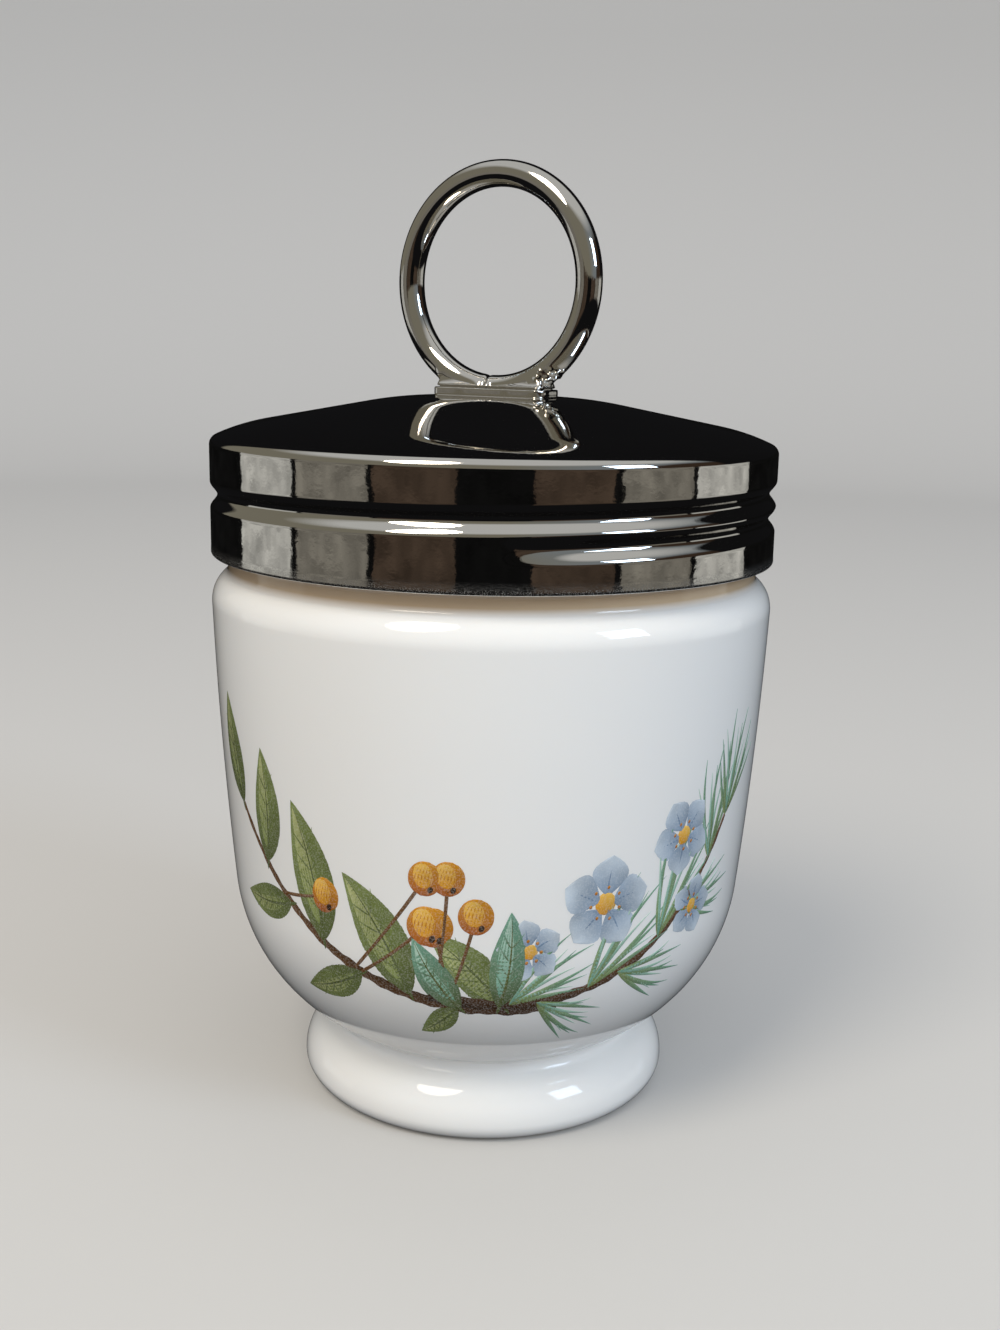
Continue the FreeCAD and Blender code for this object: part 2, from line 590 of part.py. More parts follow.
def make_lid_cap():
    """Lid of one sheet: the skirt's plain middle is replaced by the wall that the thread rollers form."""
    blank = lid_blank()
    doc.recompute()
    low, high = thread_zone()

    def radius_at(angle, height):
        relief = thread_relief(angle, height, size("groove_angle"), groove_height(), size("thread_turns"),
                               size("groove_half_width"))
        return size("outer_radius") - size("groove_depth") * relief

    def in_zone(face):
        box = face.BoundBox
        return abs(box.ZMin - low) < 0.001 and abs(box.ZMax - high) < 0.001

    kept = [face for face in blank.Shape.Faces if not in_zone(face)]
    outside = thread_face(low, high, radius_at)
    inside = thread_face(low, high, lambda angle, height: radius_at(angle, height) - size("sheet"))
    cap = doc.addObject("Part::Feature", "lid_cap")
    cap.Shape = closed_solid(kept + [outside, inside])
    return cap


# ---------------------------------------------------------------- handle

def turn_handle(body):
    """Turn a handle piece about Z to where it stands on the crown."""
    body.Placement = FreeCAD.Placement(FreeCAD.Vector(), FreeCAD.Rotation(Z_AXIS, -1))
    body.setExpression("Placement.Rotation.Angle", "-Sizes.handle_turn")


def wire_sketch(body, name, sign):
    """Circle of the wire, above or below the ring's centre, and the axis that the ring is turned about."""
    sketch = body_sketch(body, name, "YZ_Plane")
    centre = seat_height() + size("ring_radius") + size("wire_radius") - size("filed_depth")
    middle = centre + sign * size("ring_radius")
    length = 5.0
    circle = sketch.addGeometry(Part.Circle(FreeCAD.Vector(0, middle, 0), Z_AXIS, size("wire_radius")), False)
    axis = add_line(sketch, (-length, centre), (length, centre))
    sketch.setConstruction(axis, True)
    straight(sketch, "Horizontal", axis)
    sketch.addConstraint(Sketcher.Constraint("PointOnObject", circle, 3, -2))
    set_radius(sketch, circle, "Sizes.wire_radius")
    height = "%s + %s" % (SEAT, RING_RISE)
    place(sketch, axis, 1, across=str(-length), up=height)
    place(sketch, axis, 2, across=str(length))
    place(sketch, circle, 3, up="%s %s Sizes.ring_radius" % (height, "+" if sign > 0 else "-"))
    return sketch


def seat_height():
    """Height of the flat on which the ring stands."""
    return crown_top() + size("seat_rise")


def make_handle_ring():
    """Loop of round wire, its ends butted at the bottom, with a flat filed on its underside."""
    body = doc.addObject("PartDesign::Body", "handle_ring")
    sketch = wire_sketch(body, "wire_section", 1)
    loop = body.newObject("PartDesign::Revolution", "wire_loop")
    loop.Profile = sketch
    loop.ReferenceAxis = (sketch, ["Axis0"])
    loop.Midplane = True
    loop.setExpression("Angle", "360 - Sizes.butt_gap")
    flat = body_sketch(body, "filed_flat")
    reach = size("ring_radius")
    drop = 2 * size("wire_radius")
    block(flat, (-reach, seat_height() - drop), (reach, seat_height()), "Sizes.ring_radius",
          SEAT + " - 2 * Sizes.wire_radius", SEAT)
    doc.recompute()
    cut = body.newObject("PartDesign::Pocket", "underside")
    cut.Profile = flat
    cut.Midplane = True
    cut.setExpression("Length", "4 * Sizes.wire_radius")
    turn_handle(body)
    return body


def block(sketch, low_corner, high_corner, half, low, high):
    """Rectangle symmetric about the sketch's vertical axis. half, low and high are its formulas."""
    left, bottom = low_corner
    right, top = high_corner
    corners = [(left, bottom), (right, bottom), (right, top), (left, top)]
    lines = [add_line(sketch, corners[i], corners[(i + 1) % 4]) for i in range(4)]
    for i in range(4):
        join(sketch, lines[i], 2, lines[(i + 1) % 4], 1)
    straight(sketch, "Horizontal", lines[0], lines[2])
    straight(sketch, "Vertical", lines[1], lines[3])
    place(sketch, lines[0], 1, across="-" + half, up=low)
    place(sketch, lines[2], 1, across=half, up=high)


def outline(body, name, inset):
    """Rounded oblong at the height of the saddle's seat: the full outline, or the cheeks' smaller one."""
    sketch = body_sketch(body, name, "XY_Plane")
    sketch.AttachmentOffset = FreeCAD.Placement(FreeCAD.Vector(0, 0, 1), FreeCAD.Rotation())
    sketch.setExpression("AttachmentOffset.Base.z", SEAT)
    drop = size("collar_inset") if inset else 0.0
    less = " - Sizes.collar_inset" if inset else ""
    half_x = size("saddle_length") / 2 - drop
    half_y = size("wire_radius") + size("cheek_wall") - drop
    turn = size("saddle_round") - drop
    right = add_line(sketch, (half_x, turn - half_y), (half_x, half_y - turn))
    top_right = add_arc(sketch, (half_x - turn, half_y - turn), turn, 0, 90)
    back = add_line(sketch, (half_x - turn, half_y), (turn - half_x, half_y))
    top_left = add_arc(sketch, (turn - half_x, half_y - turn), turn, 90, 180)
    left = add_line(sketch, (-half_x, half_y - turn), (-half_x, turn - half_y))
    low_left = add_arc(sketch, (turn - half_x, turn - half_y), turn, 180, 270)
    front = add_line(sketch, (turn - half_x, -half_y), (half_x - turn, -half_y))
    low_right = add_arc(sketch, (half_x - turn, turn - half_y), turn, 270, 360)
    chain = [right, top_right, back, top_left, left, low_left, front, low_right]
    for first, second in zip(chain, chain[1:] + chain[:1]):
        join(sketch, first, 2, second, 1, smooth=True)
    straight(sketch, "Vertical", right, left)
    straight(sketch, "Horizontal", back, front)
    for arc in (top_left, low_left, low_right):
        sketch.addConstraint(Sketcher.Constraint("Equal", top_right, arc))
    set_radius(sketch, top_right, "Sizes.saddle_round" + less)
    place(sketch, right, 2, across="Sizes.saddle_length / 2" + less)
    place(sketch, left, 1, across="-(Sizes.saddle_length / 2%s)" % less)
    place(sketch, back, 1, up=SADDLE_HALF_WIDTH + less)
    place(sketch, front, 1, up="-(%s%s)" % (SADDLE_HALF_WIDTH, less))
    return sketch


def make_ring_saddle():
    """Cast saddle: two cheeks that take the wire between them, on an oblong step shaped to the crown."""
    body = doc.addObject("PartDesign::Body", "ring_saddle")
    collar = body.newObject("PartDesign::Pad", "cheeks")
    collar.Profile = outline(body, "cheek_outline", True)
    collar.setExpression("Length", "Sizes.collar_height")
    doc.recompute()
    wire = wire_sketch(body, "wire_trough_section", -1)
    trough = body.newObject("PartDesign::Groove", "wire_trough")
    trough.Profile = wire
    trough.ReferenceAxis = (wire, ["Axis0"])
    trough.Angle = 360.0
    doc.recompute()
    step = body.newObject("PartDesign::Pad", "step")
    step.Profile = outline(body, "step_outline", False)
    step.Reversed = True
    step.setExpression("Length", "Sizes.seat_rise + Sizes.sheet")
    doc.recompute()

    # hollow its underside to the crown and drill it for the rivet, in one turned cut
    under = body_sketch(body, "underside_profile")
    bow = size("crown_bow")
    centre = crown_points()[2]
    hole = size("rivet_radius") + size("hole_clearance")
    reach = size("saddle_length") / 2 + size("wire_radius") + size("cheek_wall")
    edge_top = (reach, centre[1] + math.sqrt(bow ** 2 - (reach - centre[0]) ** 2))
    floor = crown_top() - reach
    axis_line = add_line(under, (0, seat_height()), (0, floor))
    floor_line = add_line(under, (0, floor), (reach, floor))
    rise_line = add_line(under, (reach, floor), edge_top)
    crown = add_arc(under, centre, bow, angle_of(centre, edge_top), 90)
    flat = add_line(under, (centre[0], crown_top()), (hole, crown_top()))
    drill = add_line(under, (hole, crown_top()), (hole, seat_height()))
    drill_top = add_line(under, (hole, seat_height()), (0, seat_height()))
    join(under, axis_line, 2, floor_line, 1)
    join(under, floor_line, 2, rise_line, 1)
    join(under, rise_line, 2, crown, 1)
    join(under, crown, 2, flat, 1)
    join(under, flat, 2, drill, 1)
    join(under, drill, 2, drill_top, 1)
    join(under, drill_top, 2, axis_line, 1)
    straight(under, "Vertical", axis_line, rise_line, drill)
    straight(under, "Horizontal", floor_line, flat, drill_top)
    under.addConstraint(Sketcher.Constraint("PointOnObject", axis_line, 1, -2))
    set_radius(under, crown, "Sizes.crown_bow")
    place(under, crown, 3, across="Sizes.crown_flat", up=CROWN_TOP + " - Sizes.crown_bow")
    place(under, crown, 2, across="Sizes.crown_flat")
    place(under, drill, 2, across="Sizes.rivet_radius + Sizes.hole_clearance", up=SEAT)
    reach_formula = "Sizes.saddle_length / 2 + " + SADDLE_HALF_WIDTH
    place(under, rise_line, 1, across=reach_formula, up="%s - (%s)" % (CROWN_TOP, reach_formula))
    doc.recompute()
    hollow = body.newObject("PartDesign::Groove", "crown_seat")
    hollow.Profile = under
    hollow.ReferenceAxis = (under, ["V_Axis"])
    hollow.Angle = 360.0
    turn_handle(body)
    return body


# ---------------------------------------------------------------- fixing inside the lid

def washer_top():
    """The washer's upper face, just clear of the crown's inside at the washer's edge."""
    across = max(0.0, size("washer_radius") - size("crown_flat"))
    inside = math.sqrt((size("crown_bow") - size("sheet")) ** 2 - across ** 2)
    return crown_points()[2][1] + inside - size("hole_clearance")


def make_rivet():
    """Rivet from inside the lid through washer, crown and saddle, up to the ring's filed flat."""
    body = doc.addObject("PartDesign::Body", "handle_rivet")
    sketch = body_sketch(body, "rivet_profile")
    shank = size("rivet_radius")
    head = size("rivet_head_radius")
    height = size("rivet_head_height")
    under = washer_top() - size("washer_height")
    tip = seat_height() - size("hole_clearance")
    # the domed head is an arc through its edge and its crown
    dome = (head ** 2 + height ** 2) / (2 * height)
    centre = (0, under - height + dome)
    axis_line = add_line(sketch, (0, tip), (0, under - height))
    button = add_arc(sketch, centre, dome, -90, angle_of(centre, (head, under)))
    ledge = add_line(sketch, (head, under), (shank, under))
    side = add_line(sketch, (shank, under), (shank, tip))
    end = add_line(sketch, (shank, tip), (0, tip))
    join(sketch, axis_line, 2, button, 1)
    join(sketch, button, 2, ledge, 1)
    join(sketch, ledge, 2, side, 1)
    join(sketch, side, 2, end, 1)
    join(sketch, end, 2, axis_line, 1)
    straight(sketch, "Horizontal", ledge, end)
    straight(sketch, "Vertical", side, axis_line)
    sketch.addConstraint(Sketcher.Constraint("PointOnObject", axis_line, 1, -2))
    sketch.addConstraint(Sketcher.Constraint("PointOnObject", button, 3, -2))
    place(sketch, button, 2, across="Sizes.rivet_head_radius", up=WASHER_TOP + " - Sizes.washer_height")
    set_radius(sketch, button, "(Sizes.rivet_head_radius ^ 2 + Sizes.rivet_head_height ^ 2)"
                               " / (2 * Sizes.rivet_head_height)")
    place(sketch, side, 2, across="Sizes.rivet_radius",
          up=SEAT + " - Sizes.hole_clearance")
    revolve(body, sketch, "rivet_turned")
    return body


def make_washer():
    """Flat washer under the rivet's head."""
    washer = doc.addObject("Part::Cut", "rivet_washer")
    disc = doc.addObject("Part::Cylinder", "washer_disc")
    bore = doc.addObject("Part::Cylinder", "washer_bore")
    disc.setExpression("Radius", "Sizes.washer_radius")
    bore.setExpression("Radius", "Sizes.rivet_radius + Sizes.hole_clearance")
    for item in (disc, bore):
        item.setExpression("Height", "Sizes.washer_height")
        item.setExpression("Placement.Base.z", WASHER_TOP + " - Sizes.washer_height")
    washer.Base = disc
    washer.Tool = bore
    return washer


# ---------------------------------------------------------------- build and write

pieces = [make_lid_cap(), make_cup(), make_ring_saddle(), make_handle_ring(), make_rivet(), make_washer()]
for piece in pieces:
    piece.Label = piece.Name
doc.recompute()

faults = [item.Name for item in doc.Objects if {"Invalid", "Error"} & set(item.State)]
faults += [piece.Name for piece in pieces if piece.Shape.isNull() or not piece.Shape.isValid()]
if faults:
    raise RuntimeError("not built: " + ", ".join(faults))

os.makedirs("parts", exist_ok=True)
for piece in pieces:
    piece.Shape.exportStep("parts/%s.step" % piece.Label)
    box = piece.Shape.optimalBoundingBox()
    print("%-13s solids %d  volume %9.2f  z %.2f to %.2f" % (piece.Label, len(piece.Shape.Solids),
                                                             piece.Shape.Volume, box.ZMin, box.ZMax))
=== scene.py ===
"""Porcelain egg coddler with a screw lid and a ring handle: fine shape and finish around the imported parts."""

import math

import bpy
import numpy as np
from mathutils import Matrix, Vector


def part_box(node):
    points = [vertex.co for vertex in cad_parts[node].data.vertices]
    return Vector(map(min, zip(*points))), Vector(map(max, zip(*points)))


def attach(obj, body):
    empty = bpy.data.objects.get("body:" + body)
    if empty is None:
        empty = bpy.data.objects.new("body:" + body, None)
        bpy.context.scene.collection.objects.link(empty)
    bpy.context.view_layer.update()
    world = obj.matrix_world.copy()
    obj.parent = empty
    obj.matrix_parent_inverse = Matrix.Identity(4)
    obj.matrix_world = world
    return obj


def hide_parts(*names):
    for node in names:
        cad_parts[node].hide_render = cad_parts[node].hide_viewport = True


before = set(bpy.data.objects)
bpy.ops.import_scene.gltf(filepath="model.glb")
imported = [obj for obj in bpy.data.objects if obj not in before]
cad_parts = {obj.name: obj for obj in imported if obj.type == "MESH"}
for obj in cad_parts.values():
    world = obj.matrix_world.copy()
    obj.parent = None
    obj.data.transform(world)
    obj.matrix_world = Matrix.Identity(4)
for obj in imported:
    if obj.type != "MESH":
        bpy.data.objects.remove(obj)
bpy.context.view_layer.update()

# ============================================================================ cup
# One piece of porcelain: cast hollow, turned, dipped in clear glaze and fired to a glassy white. A glazed
# thread ridge runs round the neck. The ring that it stands on is wiped clean of glaze before firing.

CUP_COLUMNS = 384
CUP_SPACING = 0.4  # mm between rows of the mesh
FOOT_EDGE = 2.0
FOOT_ROLL = 5.0
FOOT_RADIUS = 20.45
FOOT_RING_INNER = 15.6
RECESS_DEPTH = 5.2
RECESS_ROUND = 3.0
WAIST_RADIUS = 17.35
COVE_RADIUS = 0.95
BELLY_RADIUS = 20.4
BODY_RADIUS = 30.0
SHOULDER_HEIGHT = 54.3
SHOULDER_ROUND = 3.6
WALL_LEAN = math.radians(2)  # by which the side draws in just below the shoulder
WALL_BOW = 480.0
WALL = 3.2
NECK_RADIUS = 28.3
NECK_WALL = 2.5
NECK_ROOT_ROUND = 0.6
THROAT_RISE = 4.2
RIM_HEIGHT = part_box("cup")[1][2] * 1000
RIDGE_HEIGHT = 0.95
RIDGE_HALF_WIDTH = 1.0
RIDGE_TURNS = 1.25
THREAD_PITCH = 2.6
LID_EDGE = 59.3
GROOVE_START = LID_EDGE + 4.1
GROOVE_ANGLE = -90.0
RIDGE_LEAD = 60.0
RIDGE_OFFSET = 1.2


def colour(code):
    """Linear RGBA of an sRGB hex colour."""
    channels = [int(code[i : i + 2], 16) / 255 for i in (1, 3, 5)]
    return [c / 12.92 if c <= 0.04045 else ((c + 0.055) / 1.055) ** 2.4 for c in channels] + [1.0]


def add_node(tree, kind, inputs=None, **settings):
    """Adds a shader node with its settings, and sets or links each input."""
    node = tree.nodes.new("ShaderNode" + kind)
    for name, value in settings.items():
        setattr(node, name, value)
    for name, value in (inputs or {}).items():
        if isinstance(value, bpy.types.NodeSocket):
            tree.links.new(value, node.inputs[name])
        else:
            node.inputs[name].default_value = value
    return node


def new_material(name):
    """An empty node material and its tree."""
    material = bpy.data.materials.new(name)
    material.use_nodes = True
    material.node_tree.nodes.clear()
    return material, material.node_tree


def arc(centre, radius, start, end, spacing):
    """Points (across, up) on an arc, from one angle in degrees to another."""
    count = max(3, math.ceil(math.radians(abs(end - start)) * radius / spacing) + 1)
    turn = np.radians(np.linspace(start, end, count))
    return np.column_stack([centre[0] + radius * np.cos(turn), centre[1] + radius * np.sin(turn)])


def straight(start, end, spacing):
    """Evenly spaced points (across, up) from one point to another."""
    count = max(2, math.ceil(math.dist(start, end) / spacing) + 1)
    return np.linspace(start, end, count)


def bearing(centre, point):
    """Angle in degrees of a point seen from a centre."""
    return math.degrees(math.atan2(point[1] - centre[1], point[0] - centre[0]))


def crossing(centre_a, radius_a, centre_b, radius_b):
    """Right-hand crossing point of two circles, looking from centre a to centre b."""
    gap = math.dist(centre_a, centre_b)
    ahead = np.subtract(centre_b, centre_a) / gap
    along = (gap * gap + radius_a**2 - radius_b**2) / (2 * gap)
    aside = math.sqrt(radius_a**2 - along**2)
    return np.add(centre_a, along * ahead + aside * np.array([ahead[1], -ahead[0]]))


def outline(*runs):
    """One profile from runs of points, each joint kept once."""
    points = np.concatenate(runs)
    steps = np.linalg.norm(np.diff(points, axis=0), axis=1)
    return points[np.concatenate([[True], steps > 1e-6])]


def turned(profile, columns):
    """Rings of points (row, column, xyz) of a profile turned about Z, and the angle of each column."""
    angles = np.linspace(0, 2 * np.pi, columns, endpoint=False)
    across = profile[:, :1]
    up = np.broadcast_to(profile[:, 1:], (len(profile), columns))
    return np.stack([across * np.cos(angles), across * np.sin(angles), up], axis=2), np.degrees(angles)


def quads(index):
    """Faces over a grid of vertex numbers whose last column meets its first."""
    beside = np.roll(index, -1, axis=1)
    return np.stack([index[:-1], beside[:-1], beside[1:], index[1:]], axis=2).reshape(-1, 4).tolist()


def skin(rings, poles=None):
    """Vertices and faces over rings of points. The ends close in two poles, or else on each other."""
    rows, columns = rings.shape[:2]
    index = np.arange(rows * columns).reshape(rows, columns)
    vertices = rings.reshape(-1, 3)
    if poles is None:
        return vertices, quads(np.concatenate([index, index[:1]]))
    faces = quads(index)
    first, last = rows * columns, rows * columns + 1
    beside = np.roll(index, -1, axis=1)
    faces += [[first, b, a] for a, b in zip(index[0], beside[0])]
    faces += [[last, a, b] for a, b in zip(index[-1], beside[-1])]
    return np.concatenate([vertices, poles]), faces


def make_piece(name, vertices, faces, material, body):
    """A smooth mesh object from millimetres, which moves with one body."""
    mesh = bpy.data.meshes.new(name)
    mesh.from_pydata((np.asarray(vertices) / 1000).tolist(), [], [[int(i) for i in face] for face in faces])
    mesh.shade_smooth()
    mesh.materials.append(material)
    piece = bpy.data.objects.new(name, mesh)
    bpy.context.scene.collection.objects.link(piece)
    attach(piece, body)
    return piece


def thread_relief(angles, heights, start_angle, start_height, turns, half_width, runout):
    """Share of the full thread, 0 to 1, at every height (rows) and angle in degrees (columns)."""
    relief = np.zeros((len(heights), len(angles)))
    for lap in range(math.ceil(turns) + 1):
        run = (angles - start_angle) % 360 + 360 * lap
        to_end = np.clip(np.minimum(run, turns * 360 - run) / runout, 0, 1)
        fade = 0.5 - 0.5 * np.cos(np.pi * to_end)
        offset = heights[:, None] - start_height - THREAD_PITCH * run / 360
        wave = 0.5 + 0.5 * np.cos(np.pi * np.clip(offset / half_width, -1, 1))
        relief = np.maximum(relief, fade * wave)
    return relief


edge_centre = (FOOT_RADIUS - FOOT_EDGE, FOOT_EDGE)
roll_centre = (FOOT_RADIUS - FOOT_ROLL, FOOT_EDGE)
cove_across = WAIST_RADIUS + COVE_RADIUS
cove_reach = FOOT_ROLL + COVE_RADIUS
cove_centre = (cove_across, FOOT_EDGE + math.sqrt(cove_reach**2 - (cove_across - roll_centre[0]) ** 2))
shoulder_centre = (BODY_RADIUS - SHOULDER_ROUND, SHOULDER_HEIGHT)
lean_way = np.array([math.cos(WALL_LEAN), -math.sin(WALL_LEAN)])
wall_centre = shoulder_centre - (WALL_BOW - SHOULDER_ROUND) * lean_way
belly_centre = crossing(cove_centre, BELLY_RADIUS + COVE_RADIUS, wall_centre, WALL_BOW - BELLY_RADIUS)
root_centre = (
    NECK_RADIUS + NECK_ROOT_ROUND,
    SHOULDER_HEIGHT
    + math.sqrt(
        (SHOULDER_ROUND + NECK_ROOT_ROUND) ** 2 - (NECK_RADIUS + NECK_ROOT_ROUND - shoulder_centre[0]) ** 2
    ),
)
rim_centre = (NECK_RADIUS - NECK_WALL / 2, RIM_HEIGHT - NECK_WALL / 2)
neck_inner = NECK_RADIUS - NECK_WALL
throat = SHOULDER_HEIGHT + THROAT_RISE
floor_height = belly_centre[1] - BELLY_RADIUS + WALL
belly_turn = bearing(wall_centre, belly_centre)
lean_turn = -math.degrees(WALL_LEAN)
recess_centre = (FOOT_RING_INNER - RECESS_ROUND, RECESS_DEPTH - RECESS_ROUND)
ring_edge = 0.7  # rounding of the inner edge of the ring that the cup stands on

under_foot = outline(
    straight((0.5, RECESS_DEPTH), (recess_centre[0], RECESS_DEPTH), 1.0),
    arc(recess_centre, RECESS_ROUND, 90, 0, CUP_SPACING),
    straight((FOOT_RING_INNER, recess_centre[1]), (FOOT_RING_INNER, ring_edge), CUP_SPACING),
    arc((FOOT_RING_INNER + ring_edge, ring_edge), ring_edge, 180, 270, CUP_SPACING / 2),
    straight((FOOT_RING_INNER + ring_edge, 0), (edge_centre[0], 0), CUP_SPACING),
)
outside = outline(
    arc(edge_centre, FOOT_EDGE, -90, 0, CUP_SPACING / 2),
    arc(roll_centre, FOOT_ROLL, 0, bearing(roll_centre, cove_centre), CUP_SPACING),
    arc(
        cove_centre,
        COVE_RADIUS,
        bearing(cove_centre, roll_centre) % 360,
        bearing(cove_centre, belly_centre) % 360,
        CUP_SPACING / 2,
    ),
    arc(belly_centre, BELLY_RADIUS, bearing(belly_centre, cove_centre), belly_turn, CUP_SPACING),
    arc(wall_centre, WALL_BOW, belly_turn, lean_turn, CUP_SPACING * 1.5),
    arc(shoulder_centre, SHOULDER_ROUND, lean_turn, bearing(shoulder_centre, root_centre), CUP_SPACING / 2),
    arc(root_centre, NECK_ROOT_ROUND, bearing(root_centre, shoulder_centre) % 360, 180, CUP_SPACING / 3),
)
neck = straight((NECK_RADIUS, root_centre[1]), (NECK_RADIUS, rim_centre[1]), 0.18)
inside = outline(
    arc(rim_centre, NECK_WALL / 2, 0, 180, CUP_SPACING / 2),
    straight((neck_inner, rim_centre[1]), (neck_inner, throat), 1.0),
    straight((neck_inner, throat), wall_centre + (WALL_BOW - WALL) * lean_way, CUP_SPACING),
    arc(wall_centre, WALL_BOW - WALL, lean_turn, belly_turn, CUP_SPACING * 3),
    arc(belly_centre, BELLY_RADIUS - WALL, belly_turn, -90, CUP_SPACING * 2),
    straight((belly_centre[0], floor_height), (0.5, floor_height), 1.0),
)
cup_profile = outline(under_foot, outside, neck, inside)
cup_rings, cup_angles = turned(cup_profile, CUP_COLUMNS)
on_neck = (np.abs(cup_profile[:, 0] - NECK_RADIUS) < 1e-6) & (cup_profile[:, 1] > root_centre[1])
ridge = RIDGE_HEIGHT * thread_relief(
    cup_angles,
    cup_profile[on_neck, 1],
    GROOVE_ANGLE + RIDGE_LEAD,
    GROOVE_START + RIDGE_OFFSET + THREAD_PITCH * RIDGE_LEAD / 360,
    RIDGE_TURNS,
    RIDGE_HALF_WIDTH,
    runout=20,
)
cup_rings[on_neck, :, :2] *= 1 + ridge[:, :, None] / NECK_RADIUS

# Clear feldspar glaze fired on white porcelain: a glassy skin, smooth to the touch, with a very slight
# roll that only shows where it mirrors a lamp. The bare ring underneath is a matt, faintly cream biscuit.
# On the outside of the neck, just under the lid's edge, the glaze is coloured tan in a band that fades out
# above and below; the inside of the neck stays white.
GLAZE_WHITE = colour("#F1F0EC")
BISCUIT_CREAM = colour("#E4DED2")
GLAZE_IOR = 1.52
GLAZE_ROUGHNESS = 0.02
BISCUIT_ROUGHNESS = 0.7
GLAZE_ROLL_SIZE = 0.014  # m from one swell of the glaze to the next
GLAZE_ROLL_DEPTH = 0.00004  # m
BARE_HEIGHT = 0.00025  # m, up to which the foot is wiped bare
NECK_TAN = colour("#B8935A")
NECK_TAN_SHARE = 0.75
NECK_TAN_FROM, NECK_TAN_TO = 0.0571, 0.0579  # m, over which the tan comes in on the outside of the neck

glazed_porcelain, tree = new_material("porcelain, clear glazed")
place = add_node(tree, "TexCoord").outputs["Object"]
height = add_node(tree, "SeparateXYZ", {"Vector": place}).outputs["Z"]
glazed = add_node(
    tree, "MapRange", {"Value": height, "From Min": BARE_HEIGHT, "From Max": BARE_HEIGHT * 1.6}
).outputs["Result"]
swell = add_node(tree, "TexNoise", {"Vector": place, "Scale": 1 / GLAZE_ROLL_SIZE, "Detail": 1.0})
roll = add_node(
    tree, "Bump", {"Height": swell.outputs["Fac"], "Distance": GLAZE_ROLL_DEPTH, "Strength": 1.0}
).outputs["Normal"]
glaze = add_node(
    tree, "Mix", {"Factor": glazed, "A": BISCUIT_CREAM, "B": GLAZE_WHITE}, data_type="RGBA"
).outputs[2]
level_place = add_node(tree, "VectorMath", {0: place, 1: (1.0, 1.0, 0.0)}, operation="MULTIPLY")
across = add_node(tree, "VectorMath", {0: level_place.outputs["Vector"]}, operation="LENGTH").outputs["Value"]
# Tan band round the outside of the neck under the lid's edge: its full share, faded in from below, out above,
# and kept off the inside
tan_share = NECK_TAN_SHARE
for value, start, end in (
    (height, NECK_TAN_FROM, NECK_TAN_TO),
    (height, NECK_TAN_TO + 0.0022, NECK_TAN_TO + 0.0008),
    (across, (neck_inner + 0.4) / 1000, (neck_inner + 0.9) / 1000),
):
    there = add_node(tree, "MapRange", {"Value": value, "From Min": start, "From Max": end}).outputs["Result"]
    tan_share = add_node(tree, "Math", {0: there, 1: tan_share}, operation="MULTIPLY").outputs[0]
tint = add_node(tree, "Mix", {"Factor": tan_share, "A": glaze, "B": NECK_TAN}, data_type="RGBA").outputs[2]
gloss = add_node(
    tree, "MapRange", {"Value": glazed, "To Min": BISCUIT_ROUGHNESS, "To Max": GLAZE_ROUGHNESS}
).outputs["Result"]
shader = add_node(
    tree,
    "BsdfPrincipled",
    {
        "Base Color": tint,
        "Roughness": gloss,
        "IOR": GLAZE_IOR,
        "Normal": roll,
        "Subsurface Weight": 0.15,
        "Subsurface Radius": (1.0, 0.9, 0.8),
        "Subsurface Scale": 0.001,
    },
)
add_node(tree, "OutputMaterial", {"Surface": shader.outputs["BSDF"]})

cup = make_piece(
    "cup_body",
    *skin(cup_rings, poles=[(0, 0, RECESS_DEPTH), (0, 0, floor_height)]),
    glazed_porcelain,
    "cup",
)
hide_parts("cup")

# ============================================================================ printed sprigs
# A ceramic transfer on the front, fired into the glaze: enamel colours in a film far thinner than paper.
# Two sprigs cross under the middle, one of leaves and berries, one of fine needles and small blossoms.

FILM = 0.008  # mm, thickness of the enamel
FILM_STEP = 0.0001  # mm, by which each stroke lies over the last
FILM_TUCK = 0.004  # mm, by which a stroke's edge sinks into the glaze
STROKE_SPACING = 0.4  # mm, close enough that the film stays over the curve of the cup
OLIVE_DARK = colour("#566036")
OLIVE = colour("#7D8A4E")
OLIVE_PALE = colour("#AEB27A")
SEA_GREEN = colour("#6C9A84")
SEA_GREEN_PALE = colour("#A9C6B2")
SLATE_BLUE = colour("#7489A0")
SLATE_PALE = colour("#C2CCD3")
OCHRE = colour("#C98A1E")
OCHRE_PALE = colour("#E2B553")
RUST = colour("#9A5426")
TWIG_BROWN = colour("#6A4A2C")
TWIG_DARK = colour("#3F2C1E")

wall_rows = outside[(outside[:, 1] > cove_centre[1]) & (outside[:, 1] <= SHOULDER_HEIGHT)]
strokes = []


def path_points(start, bend, end, count):
    """Points on a curve from start to end, pulled towards bend."""
    t = np.linspace(0, 1, count)[:, None]
    return (1 - t) ** 2 * np.array(start) + 2 * t * (1 - t) * np.array(bend) + t**2 * np.array(end)


